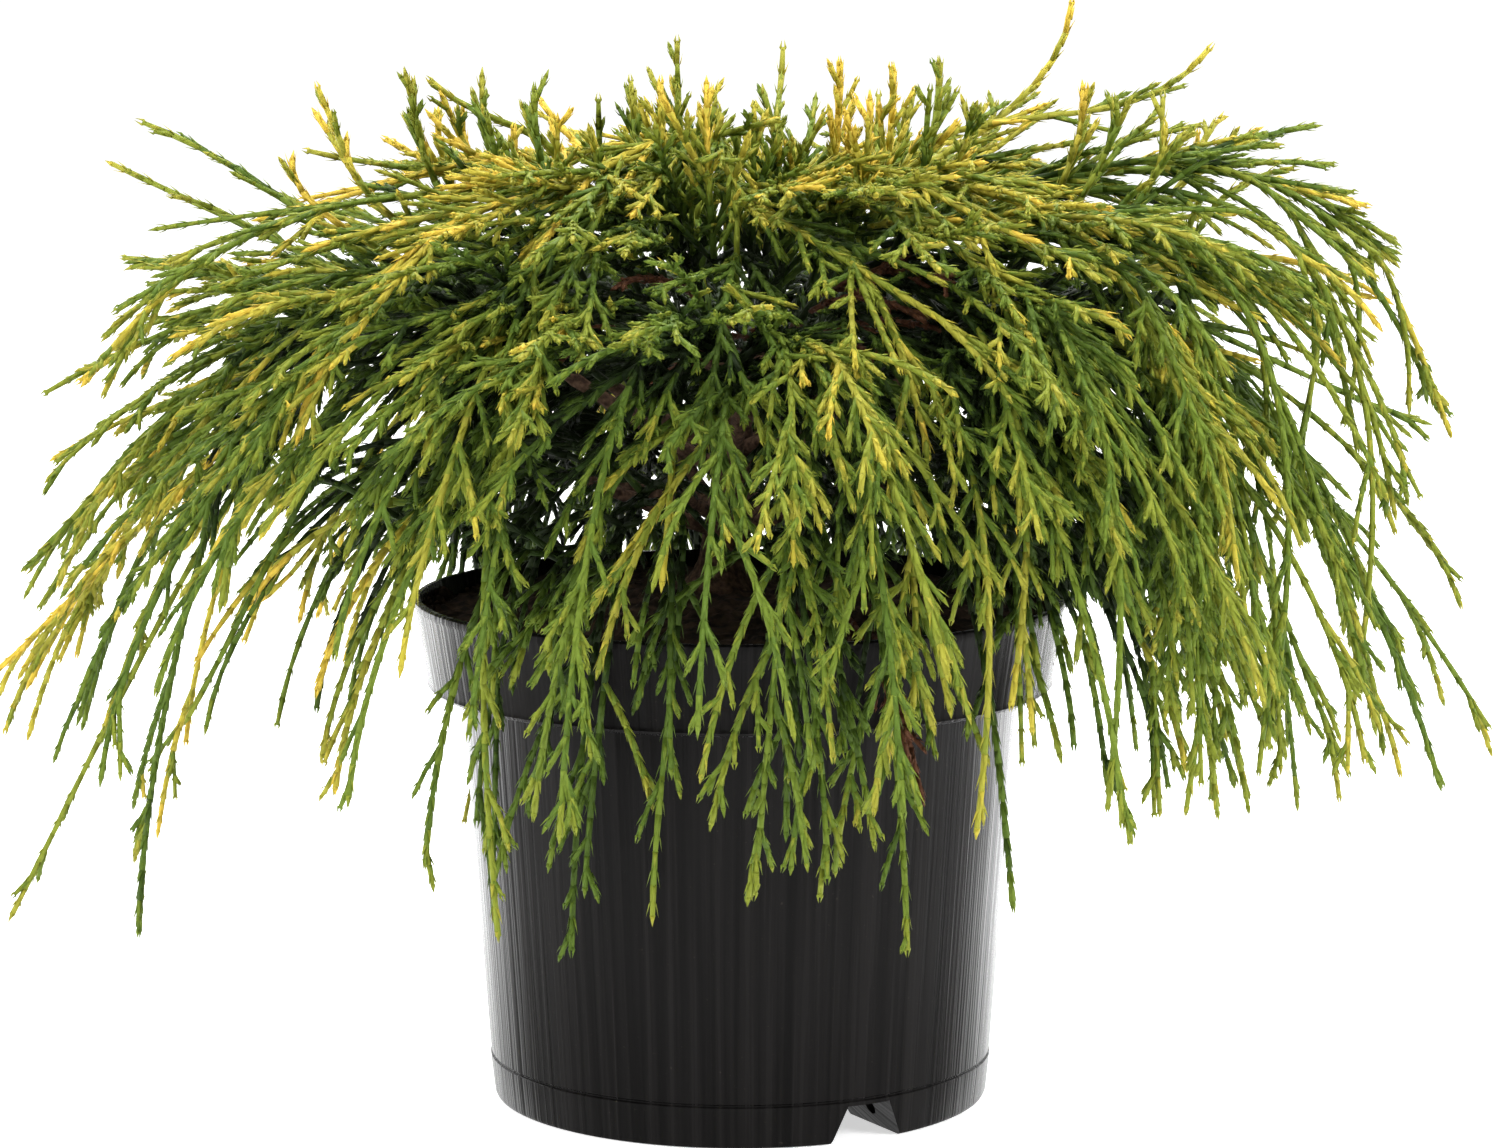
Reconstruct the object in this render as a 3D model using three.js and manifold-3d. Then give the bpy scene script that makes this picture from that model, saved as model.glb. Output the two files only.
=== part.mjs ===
// Potted golden threadleaf sawara cypress in a round black nursery pot.
// Millimetres, +Z up. The origin is on the floor under the middle of the pot, +X is to the
// right and the front faces -Y. The crown is a low mop of cord-like shoots that rise from a
// short stem, arch over and hang down around the pot. Three tiers of foliage share the space:
// the top tier above a shallow cone, the skirt tier under a roof near the pot, and the outer
// tier between and outside them. Each tier is cut like a cake into equal sectors, and each
// sector holds one mass, carried by a bough of its own.

import * as THREE from 'three';
import { mergeVertices } from 'three/addons/utils/BufferGeometryUtils.js';
import Module from 'manifold-3d';

const wasm = await Module();
wasm.setup();

const GAP = 0.3;

// Pot: a thin moulded wall with a wide collar, on three hollow feet between drain channels.
const POT_HEIGHT = 147.5;
const RIM_RADIUS = 95;
const COLLAR_HEIGHT = 26.4;
const COLLAR_FOOT_RADIUS = 91;
const BODY_TOP_RADIUS = 81.5;
const FOOT_RADIUS = 72.5;
const WALL = 1.6;
const CORNER = 1.3;
const RECESS_HEIGHT = 11.6;
const RECESS_TOP_RADIUS = 42;
const RECESS_FOOT_RADIUS = 45;
const CHANNEL_HEIGHT = 11;
const CHANNEL_FOOT_HALF = 11.5;
const CHANNEL_TOP_HALF = 6.8;
const CHANNEL_FROM_FRONT = 30;
const CHANNEL_COUNT = 3;
const DRAIN_RADIUS = 2.6;
const DRAIN_HEIGHT = 6.2;
const DRAIN_DISTANCE = 59;
const CHANNEL_START = 20;
const DRAIN_SIDES = 8;
const POT_SIDES = 30;
const BEYOND = 10;
const LEDGE_HEIGHT = POT_HEIGHT - COLLAR_HEIGHT;

// Soil: dark peat, heaped a little at the stem.
const SOIL_EDGE_HEIGHT = 142.5;
const SOIL_TOP_HEIGHT = 150;
const SOIL_FLAT_RADIUS = 16;
const SOIL_RING_SHARES = [0.72, 0.45];

// Stem: short, leaning, with a flared foot that is cut flat on the soil.
const STEM_TOP_HEIGHT = 206;
const STEM_FLARE_RADIUS = 11;
const STEM_RADIUS = 7.2;
const STEM_TOP_RADIUS = 4.4;
const STEM_FLARE_HEIGHT = 9;
const STEM_FOOT = [-6, -2];
const STEM_SIDES = 10;
const STEM_RING_HEIGHTS = [3, STEM_FLARE_HEIGHT, 24, 40];

// Spaces that the tiers keep to, and the room kept between a shoot and what isn't its own.
// A slanting floor, roof or wall needs a little more of it.
const TOP_FLOOR_HEIGHT = 214;
const TOP_FLOOR_SLOPE = 0.46;
const SKIRT_ROOF = [[0, 186], [50, 194], [95, 207], [138, 188]];
const SKIRT_WALL = { topRadius: 138, topHeight: 188, footRadius: 172, footHeight: 60 };
const SPACE_MARGIN = 0.5;
const SLANT = 1.1;
const RIM_ROOM = 1;
const ABOVE_RIM = 3.5;
const LIMB_ROOM = 0.6;
const SHOOT_ROOM = 0.8;
const CHECK_STEP = 3;

// Crown: half widths of the whole, across and from front to back.
const HALF_WIDTH = 217;
const HALF_DEPTH = 196;

// A shoot is written as its turn from the middle of its sector in degrees, how far its tip
// reaches from the axis as a share of the crown's edge there, the height of that tip, and the
// slope at which the shoot leaves its stem and ends, in degrees above the level.
const shoots = (...rows) => rows.map(([turn, reach, height, rise, end]) => (
  { turn, reach, height, rise, end }));

const TOP_SHOOTS = shoots(
  [-18, 0.27, 284, 72, 78],
  [-10, 0.08, 276, 80, 88],
  [14, 0.42, 288, 55, 50],
  [-4, 0.58, 276, 42, 14],
  [20, 0.2, 292, 78, 84],
  [-22, 0.5, 270, 35, 0],
  [8, 0.64, 258, 30, -10],
);
const OUTER_SHOOTS = shoots(
  [-3, 1, 118, 42, -66],
  [14, 0.97, 178, 36, -52],
  [-15, 0.96, 150, 40, -60],
  [7, 0.86, 252, 30, -4],
  [-8, 0.92, 214, 30, -30],
  [16, 0.94, 86, 46, -84],
  [-17, 0.93, 98, 48, -82],
);
const LEFT_SHOOTS = shoots(
  [0, 1, 125, 34, -42],
  [8, 0.98, 58, 44, -62],
  [-6, 0.95, 204, 30, -30],
  [2, 0.79, 285, 33, 22],
  [-5, 0.85, 272, 28, 24],
  [14, 0.955, 162, 38, -48],
  [-14, 0.88, 242, 26, 2],
  [-16, 0.97, 98, 42, -74],
  [17, 0.83, 58, 52, -88],
);
const RIGHT_SHOOTS = shoots(
  [3, 1.02, 106, 38, -58],
  [-9, 0.94, 161, 38, -56],
  [4, 0.93, 196, 36, -16],
  [-4, 0.86, 234, 34, -34],
  [13, 0.9, 218, 34, -38],
  [-15, 0.95, 101, 46, -74],
  [15, 0.94, 92, 46, -80],
  [2, 0.72, 268, 34, -8],
);
const FRONT_SHOOTS = shoots(
  [-3, 1, 142, 40, -70],
  [13, 0.95, 118, 44, -80],
  [-14, 0.96, 112, 44, -82],
  [5, 0.9, 190, 34, -50],
  [-8, 0.82, 238, 30, -14],
  [17, 0.93, 152, 38, -66],
);
const SKIRT_SHOOTS = shoots(
  [0, 0.6, 66, 38, -86],
  [-13, 0.72, 92, 36, -84],
  [12, 0.65, 78, 34, -82],
  [15, 0.7, 120, 26, -74],
  [-16, 0.57, 98, 34, -86],
  [-4, 0.68, 142, 22, -58],
);
const SIDE_SKIRT_SHOOTS = shoots(
  [0, 0.6, 108, 38, -80],
  [-13, 0.72, 112, 36, -80],
  [12, 0.65, 104, 34, -80],
  [15, 0.7, 134, 26, -70],
  [-16, 0.57, 116, 34, -84],
  [-4, 0.68, 152, 22, -54],
);

// Tall shoots that stand out of the top of the outline, each in the sector it grows from.
const TOP_RIGHT_EXTRA = shoots([2, 0.44, 319, 12, 86], [-2, 0.62, 306, 20, 52]);
const TOP_LEFT_EXTRA = shoots([4, 0.41, 297, 40, 42]);
const TOP_FRONT_EXTRA = shoots([-2, 0.13, 307, 74, 82]);
// The long spray that hangs over the front rim, and the golden one that arches to the left.
const SKIRT_FRONT_EXTRA = shoots([3, 0.63, 84, 52, -80], [-16, 0.66, 178, 44, -58]);

const TIERS = [
  {
    name: 'top', sectors: 6, firstTurn: 0,
    stem: { forkHeight: 200, forkStep: 0, tipRadius: 17, tipHeight: 227, rise: 58 },
    girth: { root: 1.9, tip: 1.6 },
    rows: TOP_SHOOTS,
    extra: { 0: TOP_RIGHT_EXTRA, 3: TOP_LEFT_EXTRA, 5: TOP_FRONT_EXTRA },
    own: {},
  },
  {
    name: 'outer', sectors: 8, firstTurn: 0,
    stem: { forkHeight: 182, forkStep: 8, tipRadius: 52, tipHeight: 213, rise: 34 },
    girth: { root: 2.4, tip: 1.9 },
    rows: OUTER_SHOOTS,
    extra: {},
    own: { 0: RIGHT_SHOOTS, 4: LEFT_SHOOTS, 5: FRONT_SHOOTS, 6: FRONT_SHOOTS, 7: FRONT_SHOOTS },
  },
  {
    name: 'skirt', sectors: 8, firstTurn: 22.5,
    stem: { forkHeight: 165, forkStep: 6, tipRadius: 47, tipHeight: 183, rise: 24 },
    girth: { root: 2.2, tip: 1.8 },
    rows: SKIRT_SHOOTS,
    extra: { 5: SKIRT_FRONT_EXTRA },
    own: {
      0: SIDE_SKIRT_SHOOTS, 3: SIDE_SKIRT_SHOOTS, 4: SIDE_SKIRT_SHOOTS, 7: SIDE_SKIRT_SHOOTS,
    },
  },
];

// How a mass branches: its first leading shoot is the stem, the other leaders leave that one
// after another, side shoots leave a leader by turns to its left and right, and a twig forks
// off near its tip. Side shoots and twigs are blades, toothed like the sprays they stand for.
const LEADER = {
  root: 2.3, tip: 1.6, steps: 4, spacing: 7.5, start: 8, swing: 28, sway: 12, pull: 0.38,
};
const SIDE = {
  root: 2, tip: 1.4, steps: 5, wide: 4.8, spacing: 76, first: 36, stop: 12, angle: 34,
  sag: 0.3, lift: 40, clear: 12, shortest: 24, growth: 0.45, longest: 74,
};
const TWIG = {
  root: 1.9, tip: 1.4, steps: 2, wide: 4.4, length: 22, share: 0.8, angle: 40, sag: 0.05,
  clear: 10,
};
const BRANCH_BEND = 0.5;
const BRANCH_REACH = 0.92;
const BLADE_FORWARD = 1.1;
const BLADE_PINCH = 0.75;
const BLADE_ROOT_WIDTH = 1.1;
const BLADE_TAPER = 0.4;
const BLADE_REACH = 0.8;
const BOUGH_SIDES = 5;
const BOUGH_STEPS = 2;
const SHOOT_SIDES = 3;
const SHOOT_SWELL = 1.25;
const SHOOT_PINCH = 0.8;

const DEGREE = Math.PI / 180;
const UP = new THREE.Vector3(0, 0, 1);

// The same whole numbers always give the same share between 0 and 1.
function roll(...keys) {
  let hash = 0x9e3779b9 | 0;
  for (const key of keys) {
    hash = Math.imul(hash ^ (key + 0x7f4a7c15), 0x85ebca6b);
    hash ^= hash >>> 13;
    hash = Math.imul(hash, 0xc2b2ae35);
    hash ^= hash >>> 16;
  }
  return (hash >>> 0) / 4294967296;
}

function polar(turn, radius, height) {
  const angle = turn * DEGREE;
  return new THREE.Vector3(radius * Math.cos(angle), radius * Math.sin(angle), height);
}

function heading(turn, slope) {
  const level = Math.cos(slope * DEGREE);
  const angle = turn * DEGREE;
  return new THREE.Vector3(
    level * Math.cos(angle), level * Math.sin(angle), Math.sin(slope * DEGREE));
}

function crownEdge(turn) {
  const angle = turn * DEGREE;
  return 1 / Math.hypot(Math.cos(angle) / HALF_WIDTH, Math.sin(angle) / HALF_DEPTH);
}

function toSolid(geometry) {
  const bare = geometry.index ? geometry.clone() : geometry;
  bare.deleteAttribute('normal');
  bare.deleteAttribute('uv');
  const merged = mergeVertices(bare, 1e-5);
  return new wasm.Manifold(new wasm.Mesh({
    numProp: 3,
    vertProperties: new Float32Array(merged.attributes.position.array),
    triVerts: new Uint32Array(merged.index.array),
  }));
}

function toMesh(name, solid, material) {
  const mesh = solid.getMesh();
  const geometry = new THREE.BufferGeometry();
  geometry.setAttribute('position', new THREE.BufferAttribute(mesh.vertProperties, 3));
  geometry.setIndex(new THREE.BufferAttribute(mesh.triVerts, 1));
  const part = new THREE.Mesh(geometry, material);
  part.name = name;
  return part;
}

// A turned solid from radius and height pairs that start and end on the axis.
function turned(profile, sides) {
  const outline = profile.map(([radius, height]) => new THREE.Vector2(radius, height));
  const geometry = new THREE.LatheGeometry(outline, sides);
  geometry.rotateX(Math.PI / 2);
  return geometry;
}

function bodyRadius(height) {
  return FOOT_RADIUS + (BODY_TOP_RADIUS - FOOT_RADIUS) * height / LEDGE_HEIGHT;
}

function collarRadius(height) {
  const share = (height - LEDGE_HEIGHT) / COLLAR_HEIGHT;
  return COLLAR_FOOT_RADIUS + (RIM_RADIUS - COLLAR_FOOT_RADIUS) * share;
}

// The pot's outer form drawn in by an inset: 0 is its outside, WALL its inside. It ends at an
// edge, and the points given close it from there to the axis.
function potForm(inset, edge, closing) {
  const ledge = LEDGE_HEIGHT + inset;
  const walls = turned([
    [0, RECESS_HEIGHT + inset],
    [RECESS_TOP_RADIUS + inset, RECESS_HEIGHT + inset],
    [RECESS_FOOT_RADIUS + inset, inset],
    [FOOT_RADIUS - CORNER - inset, inset],
    [bodyRadius(CORNER + inset) - inset, CORNER + inset],
    [bodyRadius(ledge) - inset, ledge],
    [collarRadius(ledge) - CORNER - inset, ledge],
    [collarRadius(ledge + CORNER) - inset, ledge + CORNER],
    [collarRadius(edge) - inset, edge],
    ...closing,
  ], POT_SIDES);
  let form = toSolid(walls);
  for (let i = 0; i < CHANNEL_COUNT; i += 1) {
    form = form.subtract(channel(i, inset));
  }
  return form;
}

function turnFromFront(i) {
  return (CHANNEL_FROM_FRONT + i * 360 / CHANNEL_COUNT) * DEGREE;
}

// A drain channel under the base, wider at the floor, from the recess out through the wall.
function channel(i, inset) {
  const slant = (CHANNEL_FOOT_HALF - CHANNEL_TOP_HALF) / CHANNEL_HEIGHT;
  const top = CHANNEL_HEIGHT + inset;
  const topHalf = CHANNEL_TOP_HALF + inset;
  const footHalf = topHalf + slant * (top + BEYOND);
  const section = new THREE.Shape([
    new THREE.Vector2(-footHalf, -BEYOND),
    new THREE.Vector2(footHalf, -BEYOND),
    new THREE.Vector2(topHalf, top),
    new THREE.Vector2(-topHalf, top),
  ]);
  const depth = FOOT_RADIUS + BEYOND - CHANNEL_START;
  const prism = new THREE.ExtrudeGeometry(section, { depth, bevelEnabled: false });
  prism.translate(0, 0, CHANNEL_START);
  prism.rotateX(Math.PI / 2);
  prism.rotateZ(turnFromFront(i));
  return toSolid(prism);
}

// A small hole across a channel, through both of its side walls.
function drainHole(i) {
  const length = 2 * (CHANNEL_FOOT_HALF + BEYOND);
  const hole = new THREE.CylinderGeometry(DRAIN_RADIUS, DRAIN_RADIUS, length, DRAIN_SIDES);
  hole.rotateZ(Math.PI / 2);
  hole.translate(0, -DRAIN_DISTANCE, DRAIN_HEIGHT);
  hole.rotateZ(turnFromFront(i));
  return toSolid(hole);
}

function makePot() {
  const outside = potForm(0, POT_HEIGHT, [[0, POT_HEIGHT]]);
  const above = POT_HEIGHT + BEYOND;
  let pot = outside.subtract(potForm(WALL, above, [[0, above]]));
  for (let i = 0; i < CHANNEL_COUNT; i += 1) {
    pot = pot.subtract(drainHole(i));
  }
  return pot;
}

function makeSoil() {
  const rise = SOIL_TOP_HEIGHT - SOIL_EDGE_HEIGHT;
  const heap = SOIL_RING_SHARES.map((share) => (
    [RIM_RADIUS * share, SOIL_EDGE_HEIGHT + rise * (0.5 + 0.5 * Math.cos(Math.PI * share))]));
  heap.push([SOIL_FLAT_RADIUS, SOIL_TOP_HEIGHT], [0, SOIL_TOP_HEIGHT]);
  return potForm(WALL + GAP, SOIL_EDGE_HEIGHT, heap);
}

function stemMiddle(height) {
  const share = (STEM_TOP_HEIGHT - height) / (STEM_TOP_HEIGHT - SOIL_TOP_HEIGHT);
  return new THREE.Vector3(STEM_FOOT[0] * share, STEM_FOOT[1] * share, height);
}

function stemRadius(height) {
  const up = height - SOIL_TOP_HEIGHT;
  const share = up / (STEM_TOP_HEIGHT - SOIL_TOP_HEIGHT);
  const flare = Math.max(0, 1 - up / STEM_FLARE_HEIGHT) ** 2;
  return STEM_RADIUS + (STEM_TOP_RADIUS - STEM_RADIUS) * share
    + (STEM_FLARE_RADIUS - STEM_RADIUS) * flare;
}

// The leaning stem, grown by an extra all round where something is to be cut clear of it.
function makeStem(extra) {
  const foot = SOIL_TOP_HEIGHT + GAP - extra;
  const top = STEM_TOP_HEIGHT + extra;
  const profile = [[0, foot], [stemRadius(foot) + extra, foot]];
  for (const up of STEM_RING_HEIGHTS) {
    const height = SOIL_TOP_HEIGHT + GAP + up;
    profile.push([stemRadius(height) + extra, height]);
  }
  profile.push([stemRadius(top) + extra, top], [0, top]);
  const geometry = turned(profile, STEM_SIDES);
  const place = geometry.attributes.position;
  for (let i = 0; i < place.count; i += 1) {
    const middle = stemMiddle(place.getZ(i));
    place.setX(i, place.getX(i) + middle.x);
    place.setY(i, place.getY(i) + middle.y);
  }
  return toSolid(geometry);
}

// A tapering limb from inside the stem to its tip, cut clear of the stem.
function makeBough(curve, root, tip) {
  const geometry = new THREE.CylinderGeometry(1, 1, 1, BOUGH_SIDES, BOUGH_STEPS);
  const place = geometry.attributes.position;
  const start = curve.getPoint(0);
  const finish = curve.getPoint(1);
  const side = finish.clone().sub(start).cross(UP).normalize();
  for (let i = 0; i < place.count; i += 1) {
    const share = Math.min(1, Math.max(0, place.getY(i) + 0.5));
    const tangent = curve.getTangent(share);
    const over = new THREE.Vector3().crossVectors(side, tangent).normalize();
    const girth = root + (tip - root) * share;
    const point = curve.getPoint(share);
    point.addScaledVector(side, place.getX(i) * girth);
    point.addScaledVector(over, place.getZ(i) * girth);
    place.setXYZ(i, point.x, point.y, point.z);
  }
  const limb = toSolid(geometry).subtract(makeStem(GAP));
  const pieces = limb.decompose();
  return pieces.reduce((best, piece) => (
    piece.boundingBox().max[2] > best.boundingBox().max[2] ? piece : best));
}

// A shoot along a curve: a three-sided cone whose rings are laid along it. The rings of a cord
// swell and pinch by turns. On a blade every other ring is stretched into a pair of teeth that
// point forward.
function makeShoot(curve, size) {
  const { root, tip, steps, wide } = size;
  const geometry = new THREE.ConeGeometry(1, 1, SHOOT_SIDES, steps);
  const place = geometry.attributes.position;
  const side = acrossOf(curve);
  for (let i = 0; i < place.count; i += 1) {
    const share = Math.min(1, Math.max(0, place.getY(i) + 0.5));
    const ring = Math.round(share * steps);
    const scale = ring === steps ? 0 : 1 / (1 - share);
    const tangent = curve.getTangent(share);
    const across = side.clone().addScaledVector(tangent, -tangent.dot(side)).normalize();
    const over = new THREE.Vector3().crossVectors(across, tangent);
    const girth = root + (tip - root) * share;
    const toothed = ring % 2 === 1;
    const point = curve.getPoint(share);
    const sideways = place.getX(i) * scale;
    let width = girth;
    if (ring > 0) {
      width *= toothed ? SHOOT_SWELL : SHOOT_PINCH;
    }
    let height = width;
    if (wide) {
      const pinched = girth * (ring > 0 ? BLADE_PINCH : 1);
      width = toothed ? wide * (BLADE_ROOT_WIDTH - BLADE_TAPER * share) : pinched;
      height = girth;
      if (toothed) {
        point.addScaledVector(tangent, Math.abs(sideways) * BLADE_FORWARD * width);
      }
    }
    point.addScaledVector(across, sideways * width);
    point.addScaledVector(over, place.getZ(i) * scale * height);
    place.setXYZ(i, point.x, point.y, point.z);
  }
  return toSolid(geometry);
}

// The level line across a shoot, which a blade lies along.
function acrossOf(curve) {
  const side = curve.getPoint(1).sub(curve.getPoint(0)).cross(UP);
  return side.lengthSq() < 1 ? side.set(1, 0, 0) : side.normalize();
}

// The spaces. Each test holds when a point with some room around it lies inside.
function skirtRoof(radius) {
  for (let i = 1; i < SKIRT_ROOF.length; i += 1) {
    const [near, low] = SKIRT_ROOF[i - 1];
    const [far, high] = SKIRT_ROOF[i];
    if (radius <= far) {
      return low + (high - low) * (radius - near) / (far - near);
    }
  }
  return SKIRT_ROOF[SKIRT_ROOF.length - 1][1];
}

function skirtWall(height) {
  const { topRadius, topHeight, footRadius, footHeight } = SKIRT_WALL;
  return topRadius + (footRadius - topRadius) * (topHeight - height) / (topHeight - footHeight);
}

const inTier = {
  top: (radius, height, room) => (
    height > TOP_FLOOR_HEIGHT + TOP_FLOOR_SLOPE * radius + SLANT * room),
  outer: (radius, height, room) => (
    height < TOP_FLOOR_HEIGHT + TOP_FLOOR_SLOPE * radius - SLANT * room
    && (height > skirtRoof(radius) + SLANT * room
      || radius > skirtWall(height) + SLANT * room)),
  skirt: (radius, height, room) => (
    height < skirtRoof(radius) - SLANT * room && radius < skirtWall(height) - SLANT * room),
};

function clearOfPot(radius, height, room) {
  return radius > RIM_RADIUS + RIM_ROOM + room || height > POT_HEIGHT + ABOVE_RIM + room;
}

function inSpace(mass, point, room) {
  const radius = Math.hypot(point.x, point.y);
  let turn = Math.atan2(point.y, point.x) / DEGREE - mass.turn;
  turn -= 360 * Math.round(turn / 360);
  const spare = radius * Math.sin((mass.halfSector - Math.abs(turn)) * DEGREE);
  return Math.abs(turn) < mass.halfSector && spare > room
    && clearOfPot(radius, point.z, room) && inTier[mass.tier.name](radius, point.z, room);
}

function pointsAlong(curve, girth) {
  const count = Math.ceil(curve.getLength() / CHECK_STEP) + 1;
  return curve.getPoints(count).map((point) => ({ point, girth }));
}

// Curves of the plant, all worked out from the tiers' sizes.
function boughCurve(tier, i) {
  const turn = tier.firstTurn + i * 360 / tier.sectors;
  const { forkHeight, forkStep, tipRadius, tipHeight, rise } = tier.stem;
  const fork = stemMiddle(forkHeight + (i % 2) * forkStep);
  const tip = polar(turn, tipRadius, tipHeight);
  const span = tip.distanceTo(fork);
  const bend = tip.clone().addScaledVector(heading(turn, rise), -0.5 * span);
  return new THREE.QuadraticBezierCurve3(fork, bend, tip);
}

function leaderCurve(mass, row, j) {
  const start = j === 0
    ? mass.bough.getPoint(1).addScaledVector(heading(mass.turn, mass.tier.stem.rise), GAP)
    : mass.stem.getPointAt((LEADER.start + j * LEADER.spacing) / mass.stem.getLength());
  const turn = mass.turn + row.turn;
  const tip = polar(turn, row.reach * crownEdge(turn), row.height);
  const level = Math.atan2(tip.y - start.y, tip.x - start.x) / DEGREE;
  const span = tip.distanceTo(start);
  const sway = LEADER.sway * (roll(mass.seed, j, 1) - 0.5);
  const swing = j === 0 ? 0 : LEADER.swing * Math.sign(row.turn - mass.rows[0].turn);
  const rise = j === 0
    ? heading(mass.turn, mass.tier.stem.rise)
    : heading(level + swing + sway, row.rise);
  const end = heading(level - sway, row.end);
  return new THREE.CubicBezierCurve3(
    start,
    start.clone().addScaledVector(rise, LEADER.pull * span),
    tip.clone().addScaledVector(end, -LEADER.pull * span),
    tip);
}

function branchCurve(parent, share, hand, angle, length, sag, lift) {
  const root = parent.getPointAt(share);
  const tangent = parent.getTangentAt(share);
  const across = new THREE.Vector3().crossVectors(tangent, UP);
  if (across.lengthSq() < 0.01) {
    across.set(-root.y, root.x, 0);
  }
  across.normalize();
  const over = new THREE.Vector3().crossVectors(across, tangent).normalize();
  const spread = Math.cos(lift * DEGREE) * Math.sin(angle * DEGREE) * hand;
  const way = tangent.clone().multiplyScalar(Math.cos(angle * DEGREE));
  way.addScaledVector(across, spread);
  way.addScaledVector(over, Math.sin(lift * DEGREE) * Math.sin(angle * DEGREE));
  const bend = root.clone().addScaledVector(way, BRANCH_BEND * length);
  const tip = root.clone().addScaledVector(way, BRANCH_REACH * length);
  tip.z -= sag * length;
  return new THREE.QuadraticBezierCurve3(root, bend, tip);
}

// A shoot is kept where it stays in its space and clear of limbs, and a branch only where it
// also ends inside the crown's edge and keeps clear of its mass's other shoots.
function fits(mass, curve, size, limbs) {
  const girth = size.tip * SHOOT_SWELL + SPACE_MARGIN;
  const reach = BLADE_REACH * (size.wide ?? 0);
  const side = acrossOf(curve);
  return pointsAlong(curve, girth).every(({ point }) => (
    [-reach, 0, reach].every((offset) => {
      const edge = point.clone().addScaledVector(side, offset);
      return inSpace(mass, edge, girth)
        && limbs.every((limb) => (
          limb.point.distanceTo(edge) > limb.girth + girth + LIMB_ROOM));
    })));
}

function isBranchClear(curve, size, own) {
  const tip = curve.getPoint(1);
  if (Math.hypot(tip.x, tip.y) > crownEdge(Math.atan2(tip.y, tip.x) / DEGREE)) {
    return false;
  }
  const length = curve.getLength();
  const points = pointsAlong(curve, size.root);
  return points.every(({ point }, index) => (
    length * index / (points.length - 1) < size.clear
    || own.every((other) => (
      other.point.distanceTo(point) > other.girth + size.root + SHOOT_ROOM))));
}

function growBranch(mass, curve, size, limbs, own, pieces) {
  if (fits(mass, curve, size, limbs) && isBranchClear(curve, size, own)) {
    pieces.push(makeShoot(curve, size));
    own.push(...pointsAlong(curve, size.root));
  }
}

function makeMass(mass, limbs) {
  const own = [];
  const pieces = [];
  const leaders = [];
  mass.rows.forEach((row, j) => {
    const curve = leaderCurve(mass, row, j);
    if (fits(mass, curve, LEADER, j === 0 ? [] : limbs)) {
      pieces.push(makeShoot(curve, LEADER));
      own.push(...pointsAlong(curve, LEADER.root));
      leaders.push({ curve, seed: j, length: curve.getLength() });
    }
  });
  for (const { curve, seed, length } of leaders) {
    let hand = roll(mass.seed, seed, 2) < 0.5 ? 1 : -1;
    let index = 0;
    for (let along = SIDE.first; along < length - SIDE.stop; along += SIDE.spacing) {
      index += 1;
      hand = -hand;
      const chance = 0.75 + 0.4 * roll(mass.seed, seed, index, 3);
      const full = (SIDE.shortest + SIDE.growth * (length - along)) * chance;
      const long = Math.min(SIDE.longest, full);
      const sag = SIDE.sag * roll(mass.seed, seed, index, 4);
      const lift = SIDE.lift * (roll(mass.seed, seed, index, 5) - 0.5);
      const side = branchCurve(curve, along / length, hand, SIDE.angle, long, sag, lift);
      growBranch(mass, side, SIDE, limbs, own, pieces);
    }
    const twig = branchCurve(
      curve, TWIG.share, hand, TWIG.angle, TWIG.length, TWIG.sag, 0);
    growBranch(mass, twig, TWIG, limbs, own, pieces);
  }
  const fused = pieces.reduce((whole, piece) => whole.add(piece));
  const bodies = fused.decompose();
  return bodies.reduce((best, body) => (body.volume() > best.volume() ? body : best));
}

function paint(color, roughness) {
  return new THREE.MeshStandardMaterial({ color, roughness, metalness: 0 });
}

const plasticPaint = paint(0x1c1b1b, 0.28);
const peatPaint = paint(0x2a1c14, 0.95);
const barkPaint = paint(0x4a3426, 0.85);
const tierPaint = {
  top: paint(0xa3a636, 0.7),
  outer: paint(0x6f9136, 0.7),
  skirt: paint(0x3f6e35, 0.7),
};

const plant = new THREE.Group();
plant.add(toMesh('pot', makePot(), plasticPaint));
plant.add(toMesh('soil', makeSoil(), peatPaint));
plant.add(toMesh('stem', makeStem(0), barkPaint));

const masses = [];
TIERS.forEach((tier, t) => {
  for (let i = 0; i < tier.sectors; i += 1) {
    const mass = {
      tier,
      label: String(i + 1).padStart(2, '0'),
      turn: tier.firstTurn + i * 360 / tier.sectors,
      halfSector: 180 / tier.sectors,
      seed: t * 100 + i + 1,
      bough: boughCurve(tier, i),
      rows: [...(tier.own[i] ?? tier.rows), ...(tier.extra[i] ?? [])],
    };
    mass.stem = leaderCurve(mass, mass.rows[0], 0);
    masses.push(mass);
  }
});

for (const mass of masses) {
  const { root, tip } = mass.tier.girth;
  const limb = makeBough(mass.bough, root, tip);
  plant.add(toMesh(`bough_${mass.tier.name}_${mass.label}`, limb, barkPaint));
}

const limbs = masses.flatMap((mass) => pointsAlong(mass.bough, mass.tier.girth.root));
for (let height = SOIL_TOP_HEIGHT; height <= STEM_TOP_HEIGHT; height += CHECK_STEP) {
  limbs.push({ point: stemMiddle(height), girth: stemRadius(height) });
}
for (const mass of masses) {
  const solid = makeMass(mass, limbs);
  const name = `foliage_${mass.tier.name}_${mass.label}`;
  plant.add(toMesh(name, solid, tierPaint[mass.tier.name]));
}

export default plant;
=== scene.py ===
import math

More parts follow.
